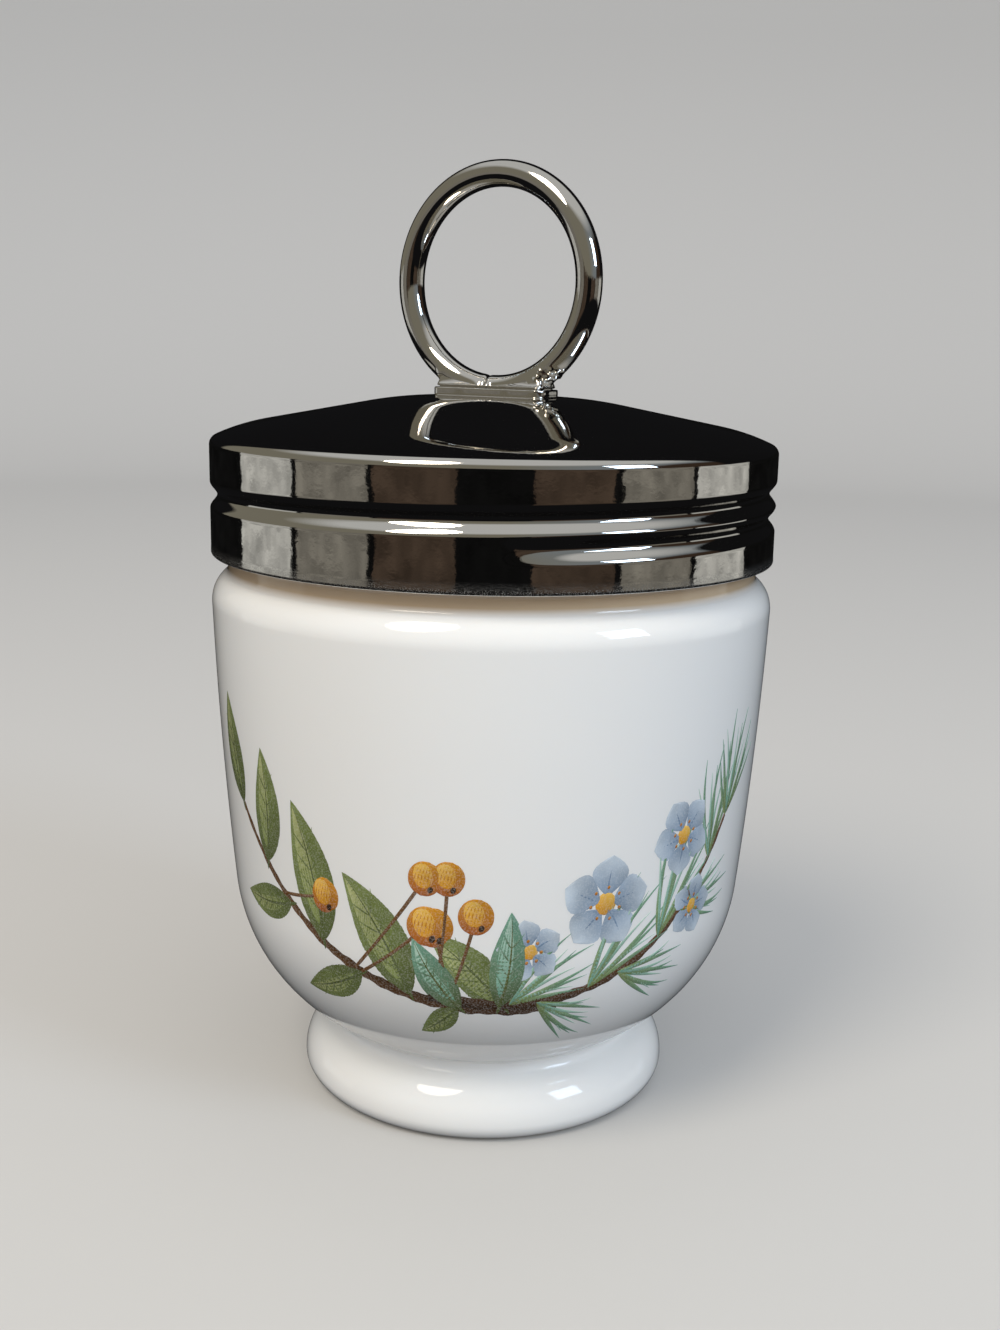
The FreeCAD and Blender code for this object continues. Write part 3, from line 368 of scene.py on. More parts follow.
def brush(points, half_widths, root, tip, shade=0.12):
    """One stroke of colour along points (across the front, height) in mm, darker on its right-hand side."""
    ahead = np.gradient(points, axis=0)
    ahead /= np.linalg.norm(ahead, axis=1)[:, None] + 1e-9
    aside = np.column_stack([-ahead[:, 1], ahead[:, 0]])
    columns = 2 * math.ceil(0.75 * half_widths.max() / STROKE_SPACING) + 1
    across = np.concatenate([[-1.0], np.linspace(-0.75, 0.75, columns), [1.0]])
    flat = points[:, None] + aside[:, None] * (half_widths[:, None] * across)[:, :, None]
    angle = np.radians(-90) + flat[:, :, 0] / BODY_RADIUS
    lift = np.full(across.shape, FILM + FILM_STEP * len(strokes))
    lift[[0, -1]] = -FILM_TUCK
    radius = np.interp(flat[:, :, 1], wall_rows[:, 1], wall_rows[:, 0]) + lift
    share = np.linspace(0, 1, len(points))[:, None, None]
    mix = np.array(root[:3]) * (1 - share) + np.array(tip[:3]) * share
    mix = np.clip(mix * (1 + shade * across)[None, :, None], 0, 1)
    strokes.append((np.stack([radius * np.cos(angle), radius * np.sin(angle), flat[:, :, 1]], axis=2), mix))


def leaf_stroke(start, end, bow, width, root, tip, shade=0.12, fullness=0.8):
    """A pointed stroke, widest before its middle, bowed sideways by a share of its length."""
    start, end = np.array(start, float), np.array(end, float)
    length = np.linalg.norm(end - start)
    aside = np.array([start[1] - end[1], end[0] - start[0]]) / length
    count = max(6, math.ceil(length / STROKE_SPACING))
    points = path_points(start, (start + end) / 2 + aside * bow * length, end, count)
    t = np.linspace(0, 1, count)
    brush(points, width / 2 * np.sin(np.pi * t**fullness) ** 0.9 + 0.01, root, tip, shade)


def dot(centre, radius, root, tip, turn=60.0, squeeze=1.0, shade=0.12):
    """A round spot of colour, shaded along one direction."""
    along = np.array([math.cos(math.radians(turn)), math.sin(math.radians(turn))])
    t = np.linspace(-1, 1, max(8, math.ceil(6 * radius / STROKE_SPACING)))
    points = np.array(centre) + np.outer(t * radius * squeeze, along)
    brush(points, radius * np.sqrt(np.clip(1 - t**2, 0, 1)) + 0.005, root, tip, shade)


def twig(start, bend, end, width, root=TWIG_DARK, tip=TWIG_BROWN):
    """A tapering twig with small knots. Returns its points."""
    points = path_points(start, bend, end, max(8, math.ceil(math.dist(start, end) / STROKE_SPACING)))
    t = np.linspace(0, 1, len(points))
    knots = 1 + 0.22 * np.sin(t * math.dist(start, end) * 2.3) * np.sin(t * math.dist(start, end) * 0.9)
    brush(points, width / 2 * (1 - 0.65 * t) * knots, root, tip, shade=0.3)
    return points


def leaf(start, turn, length, width, bow, blade=OLIVE, light=OLIVE_PALE, dark=OLIVE_DARK):
    """A leaf: its blade, the lighter half beside the rib, the rib and a few veins."""
    along = np.array([math.cos(math.radians(turn)), math.sin(math.radians(turn))])
    aside = np.array([-along[1], along[0]])
    start = np.array(start, float)
    end = start + along * length
    leaf_stroke(start, end, bow, width, dark, blade)
    leaf_stroke(start + along * length * 0.12, end - along * length * 0.05, bow + 0.10 * width / length * 2.2,
                width * 0.5, blade, light)
    for share in (0.22, 0.36, 0.5, 0.64):
        root_point = start + along * length * share + aside * bow * length * 2 * share * (1 - share)
        for side in (-1, 1):
            vein = along * width * 0.42 + aside * side * width * 0.34 * math.sin(math.pi * share**0.8)
            leaf_stroke(root_point, root_point + vein, 0.05 * side, 0.24, dark, blade)
    leaf_stroke(start - along * 0.9, end, bow, 0.42, dark, dark, fullness=0.35)


def berry(stem_start, centre, radius):
    """An ochre berry on its stalk, with a light side and a dark eye."""
    middle = (np.array(stem_start) + np.array(centre)) / 2 + np.array([0.4, -0.3])
    stem = path_points(stem_start, middle, centre, 12)
    brush(stem, np.full(12, 0.2), TWIG_BROWN, TWIG_BROWN)
    dot(centre, radius, RUST, OCHRE, turn=75)
    dot((centre[0] - 0.1 * radius, centre[1] + 0.16 * radius), radius * 0.72, OCHRE, OCHRE_PALE, turn=100)
    dot((centre[0] + 0.3 * radius, centre[1] - 0.62 * radius), radius * 0.2, TWIG_DARK, TWIG_DARK)


def blossom(centre, radius, turn):
    """A five-petalled blossom seen from the front."""
    centre = np.array(centre, float)
    for petal in range(5):
        angle = math.radians(turn + 72 * petal)
        along = np.array([math.cos(angle), math.sin(angle)])
        leaf_stroke(centre + along * radius * 0.12, centre + along * radius, 0.0, radius * 0.86, SLATE_BLUE,
                    SLATE_PALE, shade=0.1, fullness=1.25)
        leaf_stroke(centre + along * radius * 0.15, centre + along * radius * 0.7, 0.06, 0.22, SLATE_BLUE,
                    SLATE_BLUE)
    dot(centre, radius * 0.24, OCHRE, OCHRE_PALE)
    for stamen in range(7):
        angle = math.radians(turn + 20 + 51.4 * stamen)
        dot(centre + radius * 0.34 * np.array([math.cos(angle), math.sin(angle)]), 0.2, RUST, OCHRE)


def needles(start, turn, spread, length, count, bow):
    """A fan of fine needles, dark ones first and pale ones over them."""
    for i in range(count):
        share = i / (count - 1) - 0.5
        angle = math.radians(turn + spread * share)
        reach = length * (1 - 0.9 * share**2) * (0.86 + 0.14 * math.cos(i * 2.4))
        end = np.array(start) + reach * np.array([math.cos(angle), math.sin(angle)])
        pale = i % 3 == 1
        leaf_stroke(start, end, bow + 0.08 * math.sin(i * 1.7), 0.42 if pale else 0.54,
                    SEA_GREEN if pale else OLIVE, SEA_GREEN_PALE if pale else SEA_GREEN, fullness=0.6)


# Left sprig, of leaves and berries: share of the twig, side, length and width of each leaf
stem = twig((8.0, 18.5), (-16.0, 15.5), (-31.0, 35.0), 1.7)
for share, side, length, width in (
    (0.13, 1, 11.5, 5.0),
    (0.24, -1, 6.0, 3.0),
    (0.37, 1, 14.0, 5.8),
    (0.50, -1, 9.5, 4.0),
    (0.62, 1, 14.5, 5.8),
    (0.75, -1, 9.5, 4.0),
    (0.86, 1, 12.0, 4.8),
):
    i = int(share * (len(stem) - 1))
    heading = bearing(stem[i - 2], stem[i + 2])
    leaf(stem[i], heading - side * 46, length, width, -0.10 * side)
leaf(stem[-1], 104, 11.5, 4.4, 0.08)
for share, offset, radius in (
    (0.26, (-1.5, 8.5), 2.1),
    (0.27, (3.2, 9.8), 1.9),
    (0.30, (1.6, 13.4), 1.8),
    (0.50, (7.5, 6.0), 2.1),
    (0.52, (8.2, 10.6), 1.8),
    (0.78, (6.0, 1.2), 1.9),
):
    point = stem[int(share * (len(stem) - 1))]
    berry(point, point + np.array(offset), radius)

# Right sprig, of needles and blossoms: share of the twig, side and length of each fan
stem = twig((-6.0, 19.5), (17.0, 15.0), (29.5, 35.0), 1.5)
for share, side, length in (
    (0.20, 1, 11.0),
    (0.28, -1, 9.0),
    (0.42, 1, 14.0),
    (0.52, -1, 10.0),
    (0.66, 1, 14.5),
    (0.76, -1, 10.0),
    (0.90, 1, 12.0),
):
    i = int(share * (len(stem) - 1))
    heading = bearing(stem[i - 2], stem[i + 2])
    needles(stem[i], heading + side * 34, 52, length, 11, 0.06 * side)
needles(stem[-1], 78, 66, 11.5, 13, 0.0)
blossom((12.5, 29.0), 5.0, 12)
blossom((22.0, 34.5), 4.2, 48)
blossom((4.6, 24.6), 3.5, 30)
blossom((24.6, 26.4), 3.4, 5)
leaf((1.5, 18.4), 84, 10.5, 4.2, -0.1, SEA_GREEN, SEA_GREEN_PALE, OLIVE_DARK)
leaf((-2.5, 18.2), 124, 9.0, 3.8, 0.1, SEA_GREEN, SEA_GREEN_PALE, OLIVE_DARK)

# Enamel fired at low heat: as glossy as the glaze round it. The colour breaks up into the fine grains of
# the printing screen.
ENAMEL_ROUGHNESS = 0.12
GRAIN_SIZE = 0.00016  # m
WASH_SIZE = 0.0024  # m, from one darker patch of a stroke to the next

printed_enamel, tree = new_material("ceramic enamel, printed and fired")
place = add_node(tree, "TexCoord").outputs["Object"]
paint = add_node(tree, "Attribute", attribute_name="enamel").outputs["Color"]
grain = add_node(tree, "TexNoise", {"Vector": place, "Scale": 1 / GRAIN_SIZE, "Detail": 1.0}).outputs["Fac"]
wash = add_node(tree, "TexNoise", {"Vector": place, "Scale": 1 / WASH_SIZE, "Detail": 2.0}).outputs["Fac"]
thin = add_node(
    tree, "MapRange", {"Value": grain, "From Min": 0.45, "From Max": 0.7, "To Min": 0.0, "To Max": 0.16}
).outputs["Result"]
strength = add_node(
    tree, "MapRange", {"Value": wash, "From Min": 0.3, "From Max": 0.7, "To Min": 0.88, "To Max": 1.15}
).outputs["Result"]
washed = add_node(tree, "HueSaturation", {"Color": paint, "Value": strength}).outputs["Color"]
grained = add_node(tree, "Mix", {"Factor": thin, "A": washed, "B": GLAZE_WHITE}, data_type="RGBA").outputs[2]
shader = add_node(
    tree, "BsdfPrincipled", {"Base Color": grained, "Roughness": ENAMEL_ROUGHNESS, "IOR": GLAZE_IOR}
)
add_node(tree, "OutputMaterial", {"Surface": shader.outputs["BSDF"]})

vertices, paints, faces = [], [], []
for points, mix in strokes:
    rows, columns = points.shape[:2]
    index = len(vertices) + np.arange(rows * columns).reshape(rows, columns)
    corners = [index[:-1, 1:], index[:-1, :-1], index[1:, :-1], index[1:, 1:]]
    faces += np.stack(corners, axis=2).reshape(-1, 4).tolist()
    vertices += points.reshape(-1, 3).tolist()
    paints += mix.reshape(-1, 3).tolist()
sprigs = make_piece("printed_sprigs", vertices, faces, printed_enamel, "cup")
enamel = sprigs.data.color_attributes.new("enamel", "FLOAT_COLOR", "POINT")
enamel.data.foreach_set("color", np.column_stack([paints, np.ones(len(paints))]).ravel())

# ============================================================================ lid cap
# Brass sheet half a millimetre thick, drawn into a cap, its lower edge trimmed and rounded, its thread
# rolled in from outside so that the groove is the ridge inside. Nickel and bright chromium over a polish.

LID_COLUMNS = 512
LID_SPACING = 0.16  # mm
LID_RADIUS = 30.0
SHEET = 0.5
HEM_HEIGHT = 0.9
HEM_FLARE = 0.02
SKIRT_HEIGHT = 11.25
CORNER = 1.0
CROWN_FALL = math.radians(24.55)  # slope of the crown where it meets the corner
CROWN_TURN = 20.7
CROWN_SLOPE = math.radians(10.8)  # slope of the crown's plain cone
CROWN_BOW = 40.5
CROWN_FLAT = 6.0
RIVET_HOLE = 1.25
GROOVE_TURNS = 1.5
GROOVE_DEPTH = 0.75
GROOVE_HALF_WIDTH = 1.4
GROOVE_RUNOUT = 20

corner_centre = np.array([LID_RADIUS - CORNER, LID_EDGE + SKIRT_HEIGHT])
fall_way = np.array([math.sin(CROWN_FALL), math.cos(CROWN_FALL)])
slope_way = np.array([math.sin(CROWN_SLOPE), math.cos(CROWN_SLOPE)])
turn_centre = corner_centre - (CROWN_TURN - CORNER) * fall_way
cone_run = turn_centre[0] + (CROWN_TURN - CROWN_BOW) * slope_way[0] - CROWN_FLAT
cone_top = turn_centre[1] + CROWN_TURN * slope_way[1] + cone_run * math.tan(CROWN_SLOPE)
bend_centre = np.array([CROWN_FLAT, cone_top - CROWN_BOW * slope_way[1]])
CROWN_TOP = bend_centre[1] + CROWN_BOW
hem_centre = (LID_RADIUS + HEM_FLARE - SHEET / 2, LID_EDGE + SHEET / 2)


def crown_surface(drop, spacing):
    """Profile of the cap from the top of its skirt to the rivet hole, at a depth below the outer surface."""
    corner_end, cone_end = 90 - math.degrees(CROWN_FALL), 90 - math.degrees(CROWN_SLOPE)
    return outline(
        arc(corner_centre, CORNER - drop, 0, corner_end, spacing / 2),
        arc(turn_centre, CROWN_TURN - drop, corner_end, cone_end, spacing * 2),
        straight(
            turn_centre + (CROWN_TURN - drop) * slope_way, bend_centre + (CROWN_BOW - drop) * slope_way, 1.0
        ),
        arc(bend_centre, CROWN_BOW - drop, cone_end, 90, spacing * 3),
        straight((CROWN_FLAT, CROWN_TOP - drop), (RIVET_HOLE, CROWN_TOP - drop), 1.0),
    )


lid_outer = outline(
    arc(hem_centre, SHEET / 2, 180, 360, 0.08),
    straight((hem_centre[0] + SHEET / 2, hem_centre[1]), (LID_RADIUS, LID_EDGE + HEM_HEIGHT), LID_SPACING),
    straight((LID_RADIUS, LID_EDGE + HEM_HEIGHT), corner_centre + np.array([CORNER, 0]), LID_SPACING),
    crown_surface(0.0, LID_SPACING),
)
hem_inside = (LID_RADIUS - SHEET, LID_EDGE + HEM_HEIGHT)
lid_inner = outline(
    crown_surface(SHEET, LID_SPACING * 2)[::-1],
    straight((LID_RADIUS - SHEET, corner_centre[1]), hem_inside, LID_SPACING * 1.5),
    straight(hem_inside, (hem_centre[0] - SHEET / 2, hem_centre[1] + 0.05), LID_SPACING * 2),
)
lid_profile = outline(lid_outer, lid_inner)
lid_rings, lid_angles = turned(lid_profile, LID_COLUMNS)
on_skirt = (lid_profile[:, 0] > LID_RADIUS - SHEET - 0.01) & (lid_profile[:, 1] > LID_EDGE + HEM_HEIGHT)
groove = GROOVE_DEPTH * thread_relief(
    lid_angles,
    lid_profile[on_skirt, 1],
    GROOVE_ANGLE,
    GROOVE_START,
    GROOVE_TURNS,
    GROOVE_HALF_WIDTH,
    GROOVE_RUNOUT,
)
lid_rings[on_skirt, :, :2] *= 1 - groove[:, :, None] / LID_RADIUS

# Bright chromium on polished brass sheet: a mirror, warm grey in the middle tones, with the faint pull
# marks of drawing and rolling that make straight reflections waver. Hard water has left specks on the lowest
# strip of the skirt. Inside, and on its cut edge, the plate is so thin that the brass shows through.
CHROMIUM = colour("#DAD7D2")
THIN_PLATE = colour("#B79C68")
LIMESCALE = colour("#A9A7A2")
PULL_SIZE = 0.009  # m
PULL_DEPTH = 0.00003  # m
PEEL_SIZE = 0.0005  # m, from crest to crest of the plating's fine ripple
PEEL_DEPTH = 0.0000022  # m
HAZE_HEIGHT = 0.0013  # m
HAZE_SPECK = 0.00009  # m


def plated(name, metal, roughness, haze_from=None):
    """Plate over metal, rippled by how it was worked, with lime specks a little way up from a height."""
    material, tree = new_material(name)
    place = add_node(tree, "TexCoord").outputs["Object"]
    pull = add_node(tree, "TexNoise", {"Vector": place, "Scale": 1 / PULL_SIZE, "Detail": 1.0}).outputs["Fac"]
    peel = add_node(tree, "TexNoise", {"Vector": place, "Scale": 1 / PEEL_SIZE, "Detail": 2.0}).outputs["Fac"]
    slow = add_node(tree, "Bump", {"Height": pull, "Distance": PULL_DEPTH}).outputs["Normal"]
    fine = add_node(tree, "Bump", {"Height": peel, "Distance": PEEL_DEPTH, "Normal": slow}).outputs["Normal"]
    settings = {"Base Color": metal, "Metallic": 1.0, "Roughness": roughness, "Normal": fine}
    if haze_from is not None:
        height = add_node(tree, "SeparateXYZ", {"Vector": place}).outputs["Z"]
        fade = {"From Min": haze_from + HAZE_HEIGHT, "From Max": haze_from + HAZE_HEIGHT / 4}
        low = add_node(tree, "MapRange", {"Value": height} | fade).outputs["Result"]
        speck = add_node(tree, "TexNoise", {"Vector": place, "Scale": 1 / HAZE_SPECK, "Detail": 2.0})
        crisp = {"From Min": 0.52, "From Max": 0.6, "To Min": 0.04, "To Max": 0.8}
        dusty = add_node(tree, "MapRange", {"Value": speck.outputs["Fac"]} | crisp).outputs["Result"]
        haze = add_node(tree, "Math", {0: low, 1: dusty}, operation="MULTIPLY").outputs[0]
        settings["Metallic"] = add_node(
            tree, "MapRange", {"Value": haze, "To Min": 1.0, "To Max": 0.7}
        ).outputs["Result"]
        settings["Roughness"] = add_node(
            tree, "MapRange", {"Value": haze, "To Min": roughness, "To Max": 0.4}
        ).outputs["Result"]
        settings["Base Color"] = add_node(
            tree, "Mix", {"Factor": haze, "A": metal, "B": LIMESCALE}, data_type="RGBA"
        ).outputs[2]
    shader = add_node(tree, "BsdfPrincipled", settings)
    add_node(tree, "OutputMaterial", {"Surface": shader.outputs["BSDF"]})
    return material


lid = make_piece(
    "lid_cap_sheet",
    *skin(lid_rings),
    plated("brass sheet, chromium plated", CHROMIUM, 0.035, haze_from=LID_EDGE / 1000),
    "lid",
)
lid.data.materials.append(plated("brass sheet, thinly plated", THIN_PLATE, 0.3))
rows = np.arange(len(lid_profile))
cut_edge = (lid_profile[:, 0] < hem_centre[0]) & (rows < len(lid_outer) // 4)
unpolished = (rows >= len(lid_outer) - 1) | cut_edge
lid.data.polygons.foreach_set("material_index", np.repeat(unpolished.astype(int), LID_COLUMNS))
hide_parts("lid_cap")

# ============================================================================ ring saddle
# A small cast brass block, shaped to the crown underneath, with a seat on top for the ring, which is
# soldered to it: the solder stands as a hollow fillet beside the wire and in beads at one end.

SADDLE_LENGTH = 13.5
SADDLE_WIDTH = 4.4
SADDLE_ROUND = 0.9
SEAT_HEIGHT = CROWN_TOP + 0.85
CASTING_EDGE = 0.14  # mm, rounding of the casting's edges
LIP_INSET = 0.3  # mm, of the solder's rounded edge from the side of the block
LIP_HEIGHT = 0.3
FILLET_TOP = 0.4  # mm, above the middle of the wire
HANDLE_TURN = math.radians(-32)
RING_RADIUS = 10.91
WIRE_RADIUS = 1.375
FILED_DEPTH = 1.385
RING_CENTRE = SEAT_HEIGHT + RING_RADIUS + WIRE_RADIUS - FILED_DEPTH


def oblong(inset):
    """Points round the saddle's outline, drawn in by an inset."""
    half_length = SADDLE_LENGTH / 2 - inset
    half_width = SADDLE_WIDTH / 2 - inset
    turn = max(SADDLE_ROUND - inset, 0.05)
    corners = [
        ((half_length - turn, half_width - turn), 0),
        ((turn - half_length, half_width - turn), 90),
        ((turn - half_length, turn - half_width), 180),
        ((half_length - turn, turn - half_width), 270),
    ]
    runs = []
    for place, (centre, start) in enumerate(corners):
        bend = arc(centre, turn, start, start + 90, 2 * math.pi * turn / 4 / 12)[:12]
        after = corners[(place + 1) % 4]
        angle = math.radians(after[1])
        next_start = np.add(after[0], turn * np.array([math.cos(angle), math.sin(angle)]))
        bend_end = arc(centre, turn, start, start + 90, turn)[-1]
        count = 60 if place % 2 == 0 else 22
        runs += [bend, np.linspace(bend_end, next_start, count, endpoint=False)]
    return np.concatenate(runs)


def turned_to_handle(points):
    """Points turned about Z to where the handle stands."""
    points = np.asarray(points, float)
    along, aside = points[..., 0], points[..., 1]
    return np.stack(
        [
            along * math.cos(HANDLE_TURN) - aside * math.sin(HANDLE_TURN),
            along * math.sin(HANDLE_TURN) + aside * math.cos(HANDLE_TURN),
            points[..., 2],
        ],
        axis=-1,
    )


def crown_height(points):
    """Height of the crown's outer surface under points."""
    beyond_flat = np.clip(np.linalg.norm(points, axis=-1) - CROWN_FLAT, 0, None)
    return bend_centre[1] + np.sqrt(CROWN_BOW**2 - beyond_flat**2)


def level(inset, height):
    """One ring of the saddle's outline at a height, or resting on the crown if none is given."""
    points = oblong(inset)
    heights = crown_height(points) - 0.02 if height is None else np.full(len(points), height)
    return np.column_stack([points, heights])


def solder_height(points):
    """Height of the solder over its lip: level under the wire, hollow beside it, falling off at both ends."""
    wire_height = RING_CENTRE - np.sqrt(RING_RADIUS**2 - points[:, 0] ** 2) - SEAT_HEIGHT
    half_width, half_length = SADDLE_WIDTH / 2 - LIP_INSET, SADDLE_LENGTH / 2 - LIP_INSET
    beside = np.clip((half_width - np.abs(points[:, 1])) / (half_width - 0.85 * WIRE_RADIUS), 0, 1)
    to_end = np.clip((half_length - np.abs(points[:, 0])) / 0.7, 0, 1)
    return (wire_height + FILLET_TOP - LIP_HEIGHT) * beside**2.2 * (1 - (1 - to_end) ** 2)


edge = CASTING_EDGE
saddle_levels = [level(0.4, None), level(0.02, None)]
saddle_levels += [level(0.0, SEAT_HEIGHT - fall) for fall in (0.7, 0.45, 0.25)]
for turn in np.radians([0, 30, 60, 90]):
    saddle_levels.append(level(edge * (1 - math.cos(turn)), SEAT_HEIGHT - edge + edge * math.sin(turn)))
for inset, rise in ((0.26, -0.02), (0.26, 0.1), (0.12, 0.12), (0.03, 0.17), (0.0, 0.24)):
    saddle_levels.append(level(LIP_INSET + inset, SEAT_HEIGHT + rise))
lip_outline = oblong(LIP_INSET)
for share in [*np.linspace(0.99, 0.5, 36), 0.35, 0.15]:
    points = lip_outline * share
    saddle_levels.append(np.column_stack([points, SEAT_HEIGHT + LIP_HEIGHT + solder_height(points)]))
saddle = np.array(saddle_levels)
for centre, size, rise in (
    # beads of solder: place in mm, radius, rise
    ((5.9, -2.0, 76.5), 0.45, 0.25),
    ((6.5, -1.2, 76.3), 0.4, 0.2),
    ((-3.2, -2.0, 76.8), 0.6, 0.12),
    ((2.4, -1.9, 76.9), 0.5, 0.12),
):
    outward = np.array([centre[0], 2 * centre[1], 0.5])
    outward /= np.linalg.norm(outward)
    near = np.exp(-np.sum((saddle - np.array(centre)) ** 2, axis=2) / size**2)
    saddle += near[:, :, None] * rise * outward

# Chromium over a polished casting, and over tin solder in the same bath: a shade softer than the sheet.
cast_plate = plated("brass casting, chromium plated", CHROMIUM, 0.06)
saddle_poles = turned_to_handle([(0, 0, SEAT_HEIGHT - 1), (0, 0, SEAT_HEIGHT + 0.4)])
saddle_block = make_piece(
    "ring_saddle_casting",
    *skin(turned_to_handle(saddle), poles=saddle_poles),
    cast_plate,
    "lid",
)
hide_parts("ring_saddle")

# ============================================================================ handle ring
# Round brass wire bent into a loop, its ends butted at the bottom and filed flat where it stands in the
# saddle. Polished and plated with the lid; the mandrel has left it not quite true.

RING_STEPS = 480
WIRE_STEPS = 64
BUTT_PLACE = -94.5  # degrees round the ring
BUTT_PINCH = 0.1  # share of the wire's radius lost in the notch at the butt joint
BUTT_WIDTH = 1.6  # degrees
SOLDER_BLOBS = (  # degrees round the ring, degrees round the wire, their half widths in degrees, mm of rise
    (-97.0, -72, 4.0, 36, 0.36),
    (-91.0, -96, 1.2, 18, 0.34),
    (-101.0, -35, 3.0, 30, 0.20),
    (-61.0, -42, 3.4, 30, 0.42),
    (-57.0, -8, 1.8, 18, 0.30),
    (-54.5, -48, 1.5, 15, 0.34),
    (-52.0, -20, 1.3, 13, 0.26),
    (-50.5, -62, 1.3, 13, 0.24),
    (-58.5, -76, 1.6, 16, 0.26),
    (-48.5, -38, 1.1, 12, 0.20),
    (-55.5, -92, 1.1, 12, 0.18),
    (-51.0, 6, 1.2, 13, 0.18),
    (-46.5, -14, 1.0, 11, 0.14),
    (-64.5, -66, 1.5, 15, 0.22),
    (-119.0, -30, 3.5, 30, 0.28),
    (-123.5, -62, 2.4, 22, 0.16),
)

around = np.linspace(0, 2 * np.pi, RING_STEPS, endpoint=False)
section = np.linspace(0, 2 * np.pi, WIRE_STEPS, endpoint=False)
wire = WIRE_RADIUS * (1 + 0.006 * np.sin(3 * around + 0.7))
wire *= 1 - BUTT_PINCH * np.exp(-((((np.degrees(around) - BUTT_PLACE + 180) % 360 - 180) / BUTT_WIDTH) ** 2))
wire = np.repeat(wire[:, None], WIRE_STEPS, axis=1)
for ring_place, wire_place, ring_width, wire_width, rise in SOLDER_BLOBS:
    along = ((np.degrees(around) - ring_place + 180) % 360 - 180) / ring_width
    across = ((np.degrees(section) - wire_place + 180) % 360 - 180) / wire_width
    wire += rise * np.exp(-(along[:, None] ** 2) - across**2)
reach = RING_RADIUS + wire * np.cos(section)
ring_points = np.stack(
    [
        reach * np.cos(around)[:, None],
        wire * np.sin(section),
        RING_CENTRE + reach * np.sin(around)[:, None],
    ],
    axis=2,
)
ring_points[:, :, 2] = np.maximum(ring_points[:, :, 2], SEAT_HEIGHT)
ring_vertices, ring_faces = skin(turned_to_handle(ring_points))
ring = make_piece(
    "handle_ring_wire",
    ring_vertices,
    ring_faces,
    plated("brass wire, chromium plated", CHROMIUM, 0.05),
    "lid",
)
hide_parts("handle_ring")

# ============================================================================ rivet and washer
# Inside the lid: a brass rivet over a turned washer, headed by a punch and plated with the rest. They see
# steam and no polish, so the plate is satin.

rivet_plate = plated("brass rivet, chromium plated, satin", CHROMIUM, 0.28)
for node in ("handle_rivet", "rivet_washer"):
    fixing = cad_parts[node]
    for slot in fixing.material_slots:
        slot.link = "OBJECT"
        slot.material = rivet_plate

# ============================================================================ studio
# A pale paper sweep, two soft lamps at the front and a pale room that is brighter at the front. Mirrored
# in metal and glaze the room is dim, with a row of plain cards in front and black cloth behind and below;
# the paper is kept out of what they mirror.

PAPER_GREY = colour("#CCCAC6")
SWEEP_FLAT = 700.0
SWEEP_TURN = 300.0
SWEEP_WALL = 550.0
SWEEP_COLUMNS = 96

sweep_paper, tree = new_material("matt paper")
shader = add_node(tree, "BsdfPrincipled", {"Base Color": PAPER_GREY, "Roughness": 0.9, "IOR": 1.45})
add_node(tree, "OutputMaterial", {"Surface": shader.outputs["BSDF"]})
sweep_profile = outline(
    straight((5, 0), (SWEEP_FLAT, 0), 60),
    arc((SWEEP_FLAT, SWEEP_TURN), SWEEP_TURN, -90, 0, 25),
    straight((SWEEP_FLAT + SWEEP_TURN, SWEEP_TURN), (SWEEP_FLAT + SWEEP_TURN, SWEEP_WALL), 60),
)
sweep_rings = turned(sweep_profile, SWEEP_COLUMNS)[0]
index = np.arange(len(sweep_profile) * SWEEP_COLUMNS).reshape(len(sweep_profile), SWEEP_COLUMNS)
sweep_faces = quads(index)
sweep_faces.append(index[0].tolist())
sweep_mesh = bpy.data.meshes.new("paper_sweep")
sweep_mesh.from_pydata((sweep_rings.reshape(-1, 3) / 1000).tolist(), [], sweep_faces)
sweep_mesh.shade_smooth()
sweep_mesh.materials.append(sweep_paper)
sweep = bpy.data.objects.new("paper_sweep", sweep_mesh)
bpy.context.scene.collection.objects.link(sweep)
sweep.visible_glossy = False
sweep.visible_diffuse = False

LAMP_REACH = 0.8  # m from the middle of the piece
PIECE_MIDDLE = (0.0, 0.0, 0.045)


def soft_box(name, shape, azimuth, elevation, width, height, watts, tint):
    """An area lamp that faces the piece. Azimuth is 0 at the front and grows to the right."""
    light = bpy.data.lights.new(name, "AREA")
    light.shape = shape
    light.size, light.size_y = width, height
    light.energy = watts
    light.color = colour(tint)[:3]
    lamp = bpy.data.objects.new(name, light)
    side, up = math.radians(azimuth), math.radians(elevation)
    lamp.location = [
        PIECE_MIDDLE[0] + LAMP_REACH * math.cos(up) * math.sin(side),
        PIECE_MIDDLE[1] - LAMP_REACH * math.cos(up) * math.cos(side),
        PIECE_MIDDLE[2] + LAMP_REACH * math.sin(up),
    ]
    lamp.rotation_euler = (math.radians(90) - up, 0, side)
    bpy.context.scene.collection.objects.link(lamp)


soft_box("left soft box", "ELLIPSE", -35.5, 50, 0.32, 0.46, 2.8, "#FFF4E2")
soft_box("right soft box", "RECTANGLE", 56, 26, 0.24, 0.28, 1.9, "#D0E6FF")

